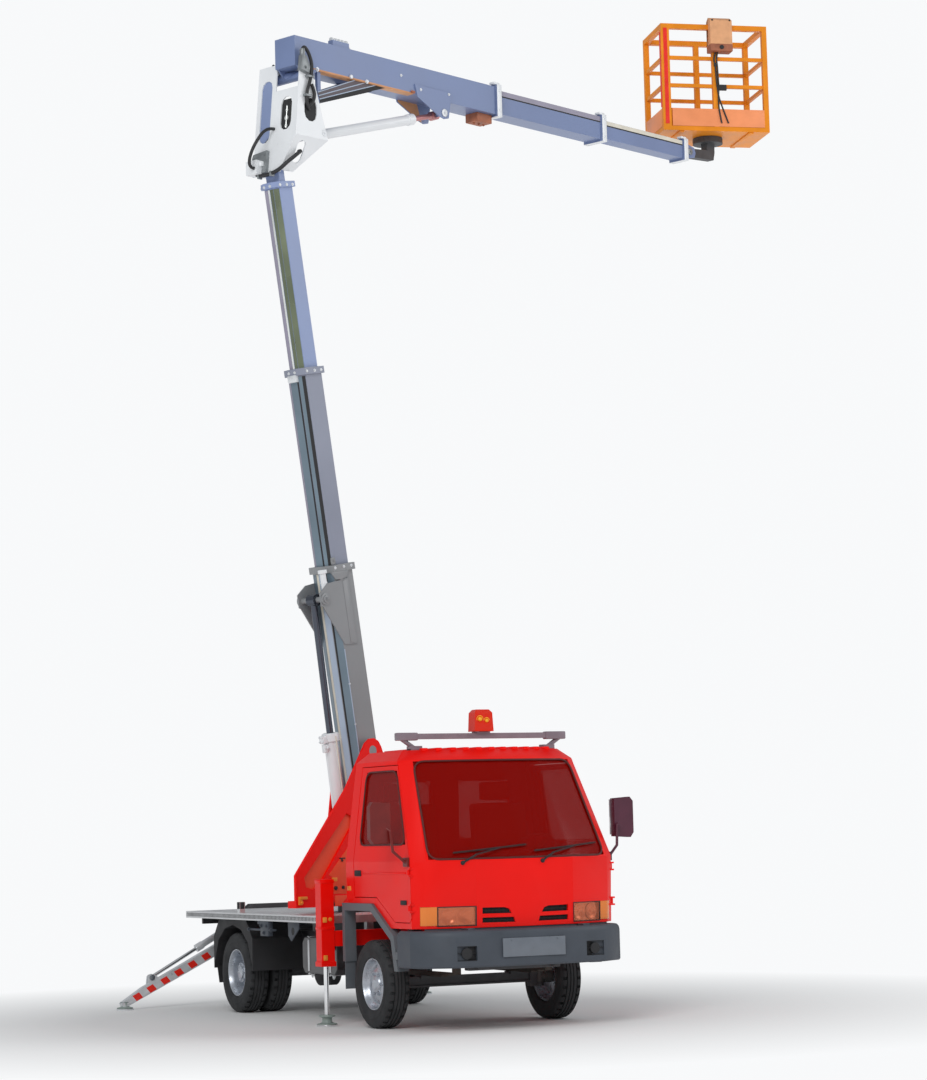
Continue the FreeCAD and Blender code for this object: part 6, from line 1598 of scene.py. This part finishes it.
# %% Control box details
bm = bmesh.new()
eased_block(bm, (-0.062, -0.403, 0.797), (0.172, -0.268, 0.872), 0.008)
piece("console_skirt", bm, "basket", rust_block, basket_at)
bm = bmesh.new()
bar(bm, (0.055, -0.400, 0.835), (0.055, -0.412, 0.835), 0.022, 24, ease=0.003)
for x in (-0.035, 0.145):
    nut(bm, (x, -0.401, 1.110), (0, -1, 0), 0.007, 0.005)
eased_block(bm, (0.020, -0.350, 0.410), (0.110, -0.329, 0.470), 0.006)
eased_block(bm, (-0.014, -0.348, 0.655), (0.022, -0.329, 0.690), 0.005)
piece("console_levers", bm, "basket", black_plastic, basket_at)
pipe("console_conduits",
     [((0.010, -0.345, 0.805), (-0.020, -0.345, 0.740), (0.000, -0.342, 0.660),
       (0.006, -0.338, 0.560), (0.014, -0.338, 0.440), (0.030, -0.338, 0.330),
       (0.075, -0.338, 0.200), (0.120, -0.338, 0.080)),
      ((0.030, -0.345, 0.805), (0.012, -0.345, 0.740), (0.022, -0.342, 0.660),
       (0.026, -0.338, 0.560), (0.032, -0.338, 0.440), (0.022, -0.338, 0.330),
       (0.026, -0.338, 0.200), (0.050, -0.338, 0.080))], 0.008, "basket", hose_rubber, basket_at)
print("basket dressed")

# %% [markdown]
# ## Feet and front legs
# The front legs drop out of red housings with raised bands and amber markers. A foot is a turned
# spool: a wide plate, a neck and an upper collar. The rear feet use the lower part of its outline.

# %% Feet and front legs
pale_green = finish("foot_green", (0.30, 0.36, 0.33), 0.5, spread=0.15, patch=20)
FOOT = [(0.084, 0.0165), (0.080, 0.022), (0.046, 0.030), (0.040, 0.040), (0.040, 0.066),
        (0.050, 0.074), (0.066, 0.078), (0.068, 0.084), (0.066, 0.090), (0.030, 0.094),
        (0.0205, 0.094)]
FRONT_LEG_X, FRONT_LEG_Y, BAND_HALF = 1.000, -1.225, 0.0615
for side, letter in SIDES:
    x, y = side * FRONT_LEG_X, FRONT_LEG_Y
    bm = bmesh.new()
    turned(bm, FOOT, 40)
    piece("front_foot_" + letter, bm, BODY_OF["front_leg_" + letter], pale_green,
          Matrix.Translation((x, y, 0)))
    bm = bmesh.new()
    for low, high in ((0.775, 0.800), (1.150, 1.183), (0.484, 0.512)):
        eased_block(bm, (x - BAND_HALF, y - BAND_HALF, low), (x + BAND_HALF, y + BAND_HALF, high),
                    0.004)
    piece("front_leg_bands_" + letter, bm, BODY_OF["front_leg_frame"], red_paint)
    bm = bmesh.new()
    for level in (0.835, 0.530):
        eased_block(bm, (x - 0.045, y - 0.068, level), (x - 0.010, y - 0.056, level + 0.042),
                    0.004)
    nut(bm, (x + 0.02, y - 0.058, 0.86), (0, -1, 0), 0.012, 0.008)
    piece("front_leg_markers_" + letter, bm, BODY_OF["front_leg_frame"], amber_rubber)
print("front feet ready")

# %% [markdown]
# ## Rear legs
# A rear leg folds about a hinge on the frame's rear beam. Its red bars and pins are drawn in the
# leg's own frame, which runs from the hinge down along the beam, so a bar is a plain slanted
# outline there. The foot stands upright under the leg's end.

# %% Rear legs
REAR_HINGE_X, REAR_LEG_Y, REAR_HINGE_Z, REAR_FOOT_X = 0.350, 2.300, 0.640, 1.500
LEG_FALL, LEG_BARS, BAR_PITCH = math.radians(26.7), 7, 0.150
for side, letter in SIDES:
    hinge = Vector((side * REAR_HINGE_X, REAR_LEG_Y, REAR_HINGE_Z))
    REAR = frame_matrix(hinge, Vector((side * math.cos(LEG_FALL), 0, -math.sin(LEG_FALL))),
                        Vector((0, side, 0)),
                        Vector((side * math.sin(LEG_FALL), 0, math.cos(LEG_FALL))))
    rear_body = BODY_OF["rear_leg_" + letter]
    corners = [REAR.inverted() @ vert.co for vert in nodes["rear_leg_" + letter].data.vertices]
    beam_y = max(abs(corner.y) for corner in corners if corner.x < 0.2)
    far_x = max(corner.x for corner in corners)
    print("rear leg", letter, "length", round(far_x, 3), "half width", round(beam_y, 3))
    bm = bmesh.new()
    for number in range(LEG_BARS):
        start = 0.22 + number * BAR_PITCH
        for face in (-1, 1):
            low, high = sorted((face * 0.0345, face * 0.0365))
            slab(bm, ((start, -0.030), (start + 0.070, -0.030), (start + 0.084, 0.030),
                      (start + 0.014, 0.030)), low, high)
    piece("rear_leg_bars_" + letter, bm, rear_body, safety_red, REAR)
    bm = bmesh.new()
    for x_at, z_at in ((0.0, 0.0), (0.960, 0.085)):
        for face in (1, -1):
            reach = 0.036 if x_at else 0.079
            nut(bm, (x_at, face * reach, z_at), (0, face, 0), 0.020, 0.008)
    piece("rear_leg_pins_" + letter, bm, rear_body, chrome, REAR)
    bm = bmesh.new()
    turned(bm, [(radius * 0.90, height + 0.001) for radius, height in FOOT[:6]], 40)
    piece("rear_foot_" + letter, bm, rear_body, pale_green,
          Matrix.Translation((side * REAR_FOOT_X, REAR_LEG_Y, 0)))

# %% [markdown]
# ## The deck and what hangs under it
# The deck is an aluminium plate with a raised tread. Along its sides and its rear edge runs a
# groove with fine bright ribs, which are rows of small blocks made by loops. The groove's dark is
# painted shade: a thin dark skin behind the ribs.

# %% Deck edge
SIDE_RIBS, REAR_RIBS, RIB_PITCH, RIB_WIDE = 106, 60, 0.030, 0.011
bm = bmesh.new()
# Painted shade: a thin dark skin behind the ribs stands for the shade inside the groove.
groove = bmesh.new()
for side in (1, -1):
    low, high = sorted((side * 0.9492, side * 0.9515))
    eased_block(groove, (low, -1.060, 0.836), (high, 2.130, 0.866), 0)
    for number in range(SIDE_RIBS):
        y = -1.050 + number * RIB_PITCH
        low, high = sorted((side * 0.9500, side * 0.9545))
        eased_block(bm, (low, y, 0.838), (high, y + RIB_WIDE, 0.864), 0)
for number in range(REAR_RIBS):
    x = -0.885 + number * RIB_PITCH
    eased_block(bm, (x, 2.149, 0.838), (x + RIB_WIDE, 2.1535, 0.864), 0)
eased_block(groove, (-0.930, 2.1495, 0.836), (0.930, 2.1515, 0.866), 0)
piece("deck_edge_ribs", bm, BODY_OF["deck"], aluminium)
piece("deck_edge_groove_shade", groove, BODY_OF["deck"], chassis_paint)
print("deck edge ready")

# %% [markdown]
# ## The deck's tread
# Raised bars turn by ninety degrees from one to the next, as on any tread plate. They leave out
# the turret's ring and the post. The post wears a black cap.

# %% Deck tread and post
DECK_ROWS, DECK_COLUMNS, CLEAR_RADIUS = 42, 25, 0.46
bm = bmesh.new()
for row in range(DECK_ROWS):
    for column in range(DECK_COLUMNS):
        x, y = -0.885 + column * 0.07375, -1.030 + row * 0.0750
        if math.hypot(x, y) < CLEAR_RADIUS or (x < -0.86 and 0.72 < y < 0.94):
            continue
        turn = Matrix.Rotation(math.radians(45 if (row + column) % 2 else -45), 4, "Z")
        eased_block(bm, (x - 0.016, y - 0.0035, 0.8795), (x + 0.016, y + 0.0035, 0.8825), 0,
                    turn=turn)
piece("deck_tread", bm, BODY_OF["deck"], aluminium)
bm = bmesh.new()
bar(bm, (-0.924, 0.830, 0.915), (-0.924, 0.830, 0.9745), 0.036, 24, ease=0.004)
piece("deck_post_cap", bm, BODY_OF["deck"], black_plastic)
print("deck tread ready")

# %% [markdown]
# ## Brackets under the deck
# A folded bracket with bolts hangs at the near side. A plate with a round hole hangs under each
# side of the deck, and the hole is painted shade: a black disc on the plate.

# %% Side bracket and lugs
bm = bmesh.new()
eased_block(bm, (-0.945, 0.060, 0.735), (-0.905, 0.610, 0.752), 0.004)
eased_block(bm, (-0.948, 0.150, 0.690), (-0.900, 0.330, 0.822), 0.006)
eased_block(bm, (-0.946, 0.330, 0.790), (-0.915, 0.400, 0.8205), 0.005)
for y, z in ((0.180, 0.78), (0.300, 0.78), (0.240, 0.72), (0.075, 0.744), (0.590, 0.744)):
    nut(bm, (-0.948, y, z), (-1, 0, 0), 0.014, 0.012)
bar(bm, (-0.930, 0.365, 0.800), (-0.930, 0.365, 0.8205), 0.020, 16)
piece("side_bracket", bm, BODY_OF["deck"], slate_plastic)
bm = bmesh.new()
for side in (-1, 1):
    slab(bm, ((-0.440, 0.8205), (-0.190, 0.8205), (-0.200, 0.700), (-0.260, 0.655),
              (-0.330, 0.700), (-0.430, 0.760)), *sorted((side * 0.893, side * 0.905)), plane="YZ",
         ease=0.003)
piece("side_lugs", bm, BODY_OF["deck"], slate_plastic)
# Painted shade: a black disc on each plate stands for its shadowed hole.
bm = bmesh.new()
for side in (1, -1):
    bar(bm, (side * 0.892, -0.305, 0.740), (side * 0.9065, -0.305, 0.740), 0.032, 24)
piece("side_lug_hole_shade", bm, BODY_OF["deck"], black_plastic)
print("brackets ready")

# %% [markdown]
# ## The fuel tank's straps
# Two straps wrap the tank: flat strips on its outer side, top and bottom, a slanted one at each
# outer corner, and a bolt below. All are placed from the tank's own box. A black cap closes it.

# %% Tank straps and cap
STRAP_HALF, STRAP_INNER_X = 0.016, -0.385
tank_low, tank_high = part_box("fuel_tank")
bm = bmesh.new()
for y in (-0.345, -0.800):
    eased_block(bm, (tank_low[0] - 0.006, y - STRAP_HALF, tank_low[2] + 0.020),
                (tank_low[0] + 0.002, y + STRAP_HALF, tank_high[2] - 0.020), 0.002)
    eased_block(bm, (tank_low[0] + 0.016, y - STRAP_HALF, tank_low[2] - 0.006),
                (STRAP_INNER_X, y + STRAP_HALF, tank_low[2] + 0.002), 0.002)
    eased_block(bm, (tank_low[0] + 0.016, y - STRAP_HALF, tank_high[2] - 0.002),
                (STRAP_INNER_X, y + STRAP_HALF, tank_high[2] + 0.006), 0.002)
    x = tank_low[0] + 0.006
    for z, angle in ((tank_low[2] + 0.006, -45), (tank_high[2] - 0.006, 45)):
        eased_block(bm, (x - 0.018, y - STRAP_HALF, z - 0.003),
                    (x + 0.018, y + STRAP_HALF, z + 0.003), 0.001,
                    turn=Matrix.Rotation(math.radians(angle), 4, "Y"))
    nut(bm, (tank_low[0] + 0.030, y, tank_low[2] - 0.006), (0, 0, -1), 0.012, 0.020)
piece("tank_straps", bm, BODY_OF["fuel_tank"], silver_paint)
bm = bmesh.new()
bar(bm, (tank_low[0] + 0.006, -0.880, 0.620), (tank_low[0] - 0.022, -0.880, 0.628), 0.034, 28,
    ease=0.004)
bar(bm, (-0.55, tank_high[1] - 0.004, 0.470), (-0.55, tank_high[1] + 0.010, 0.470), 0.014, 16)
piece("tank_cap", bm, BODY_OF["fuel_tank"], black_plastic)
print("tank straps ready")

# %% [markdown]
# ## The frame's rivets, the crossbar and the mud flaps
# Rivets run along the frame's rails in pairs. A dark crossbar joins the rails under the bumper,
# and a rubber flap hangs behind each rear mudguard.

# %% Frame parts and mud flaps
bm = bmesh.new()
for side in (1, -1):
    for y in (-2.30, -1.95, -1.55, -0.9, -0.2, 0.5, 1.2, 1.9):
        for z in (0.60, 0.68):
            nut(bm, (side * 0.3595, y, z), (side, 0, 0), 0.010, 0.006)
piece("frame_rivets", bm, BODY_OF["chassis_frame"], cast_iron)
bm = bmesh.new()
eased_block(bm, (-0.400, -2.650, 0.462), (0.400, -2.560, 0.522), 0.008)
for side in (1, -1):
    eased_block(bm, (side * 0.330 - 0.020, -2.700, 0.470), (side * 0.330 + 0.020, -2.560, 0.500),
                0.006)
piece("front_crossbar", bm, BODY_OF["chassis_frame"], chassis_paint)
bm = bmesh.new()
for side in (1, -1):
    slab(bm, ((1.500, 0.250), (1.512, 0.250), (1.560, 0.400), (1.548, 0.400)),
         *sorted((side * 0.470, side * 0.880)), plane="YZ")
    for x in (0.50, 0.86):
        nut(bm, (side * x, 1.5495, 0.385), (0, 1, 0), 0.009, 0.006)
piece("mud_flaps", bm, BODY_OF["rear_mudguards"], black_plastic)
print("frame parts ready")

# %% [markdown]
# ## The beacon
# Under the beacon's coloured cover sit two bright lamps in small bowls, on a turned black base.

# %% Beacon
glow = finish("beacon_glow", (1.0, 0.50, 0.02), 0.35, spread=0.10, patch=40)
bm = bmesh.new()
for x, z, radius in ((-0.034, 2.432, 0.026), (0.026, 2.420, 0.022)):
    bowl(bm, (x, -2.2085, z), (0, -1, 0), radius, 0.010)
    ball(bm, (x, -2.2065, z), radius * 0.72, 16)
piece("beacon_lamps", bm, BODY_OF["beacon"], glow)
bm = bmesh.new()
turned(bm, [(0.001, 2.330), (0.060, 2.330), (0.062, 2.336), (0.060, 2.346), (0.001, 2.348)], 36)
piece("beacon_base", bm, BODY_OF["beacon"], black_plastic, Matrix.Translation((0, -2.15, 0)))
print("beacon ready")

# %% [markdown]
# ## Mirrors
# One mirror has a shell in dark wine and one in dark red, and both have a real mirror face. The
# face is a thin plate on the shell's rear side, and its place is read from the shell.

# %% Mirrors
wine_plastic = finish("wine_plastic", (0.085, 0.016, 0.036), 0.4, spread=0.12, patch=9)
dark_red = finish("dark_red_plastic", (0.16, 0.006, 0.004), 0.4, spread=0.12, patch=9)
mirror_face = finish("mirror_face", (0.80, 0.82, 0.84), 0.04, metallic=1.0, spread=0.02, patch=5,
                     gloss_spread=0.02)
for letter, paint, side in (("left", wine_plastic, 1), ("right", dark_red, -1)):
    repaint("mirror_" + letter, paint)
    low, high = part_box("mirror_" + letter)
    rear = max(vert.co.y for vert in nodes["mirror_" + letter].data.vertices
               if vert.co.z > high[2] - 0.10)
    outer = low[0] if side < 0 else high[0]
    inner = outer - side * 0.185
    bm = bmesh.new()
    eased_block(bm, (min(inner, outer - side * 0.014), rear - 0.002, high[2] - 0.300),
                (max(inner, outer - side * 0.014), rear + 0.003, high[2] - 0.018), 0.002)
    piece("mirror_face_" + letter, bm, BODY_OF["mirror_" + letter], mirror_face)
print("mirrors ready")

# %% [markdown]
# ## Tail lamps, rear plate and mouldings
# Two tail lamps in black shells and a blank plate hang under the deck's rear edge. The arch
# mouldings get a lighter grey than the bumper.

# %% Tail lamps and mouldings
tail_red = glass("tail_red", (0.62, 0.012, 0.006), 0.10, 0.94)
bm = bmesh.new()
shells = bmesh.new()
for side in (1, -1):
    low, high = sorted((side * 0.560, side * 0.800))
    eased_block(shells, (low, 2.105, 0.758), (high, 2.145, 0.8205), 0.005)
    eased_block(bm, (low + 0.006, 2.1435, 0.764), (high - 0.006, 2.152, 0.808), 0.004)
piece("tail_lamp_shells", shells, BODY_OF["deck"], black_plastic)
piece("tail_lamps", bm, BODY_OF["deck"], tail_red)
bm = bmesh.new()
eased_block(bm, (-0.240, 2.140, 0.712), (0.240, 2.148, 0.8205), 0.004)
piece("rear_blank_plate", bm, BODY_OF["deck"], plate_paint)
moulding_grey = finish("moulding_grey", (0.115, 0.13, 0.145), 0.5, spread=0.10, patch=6,
                       grain=1400, relief=0.00025)
repaint("arch_mouldings", moulding_grey)
print("details done")
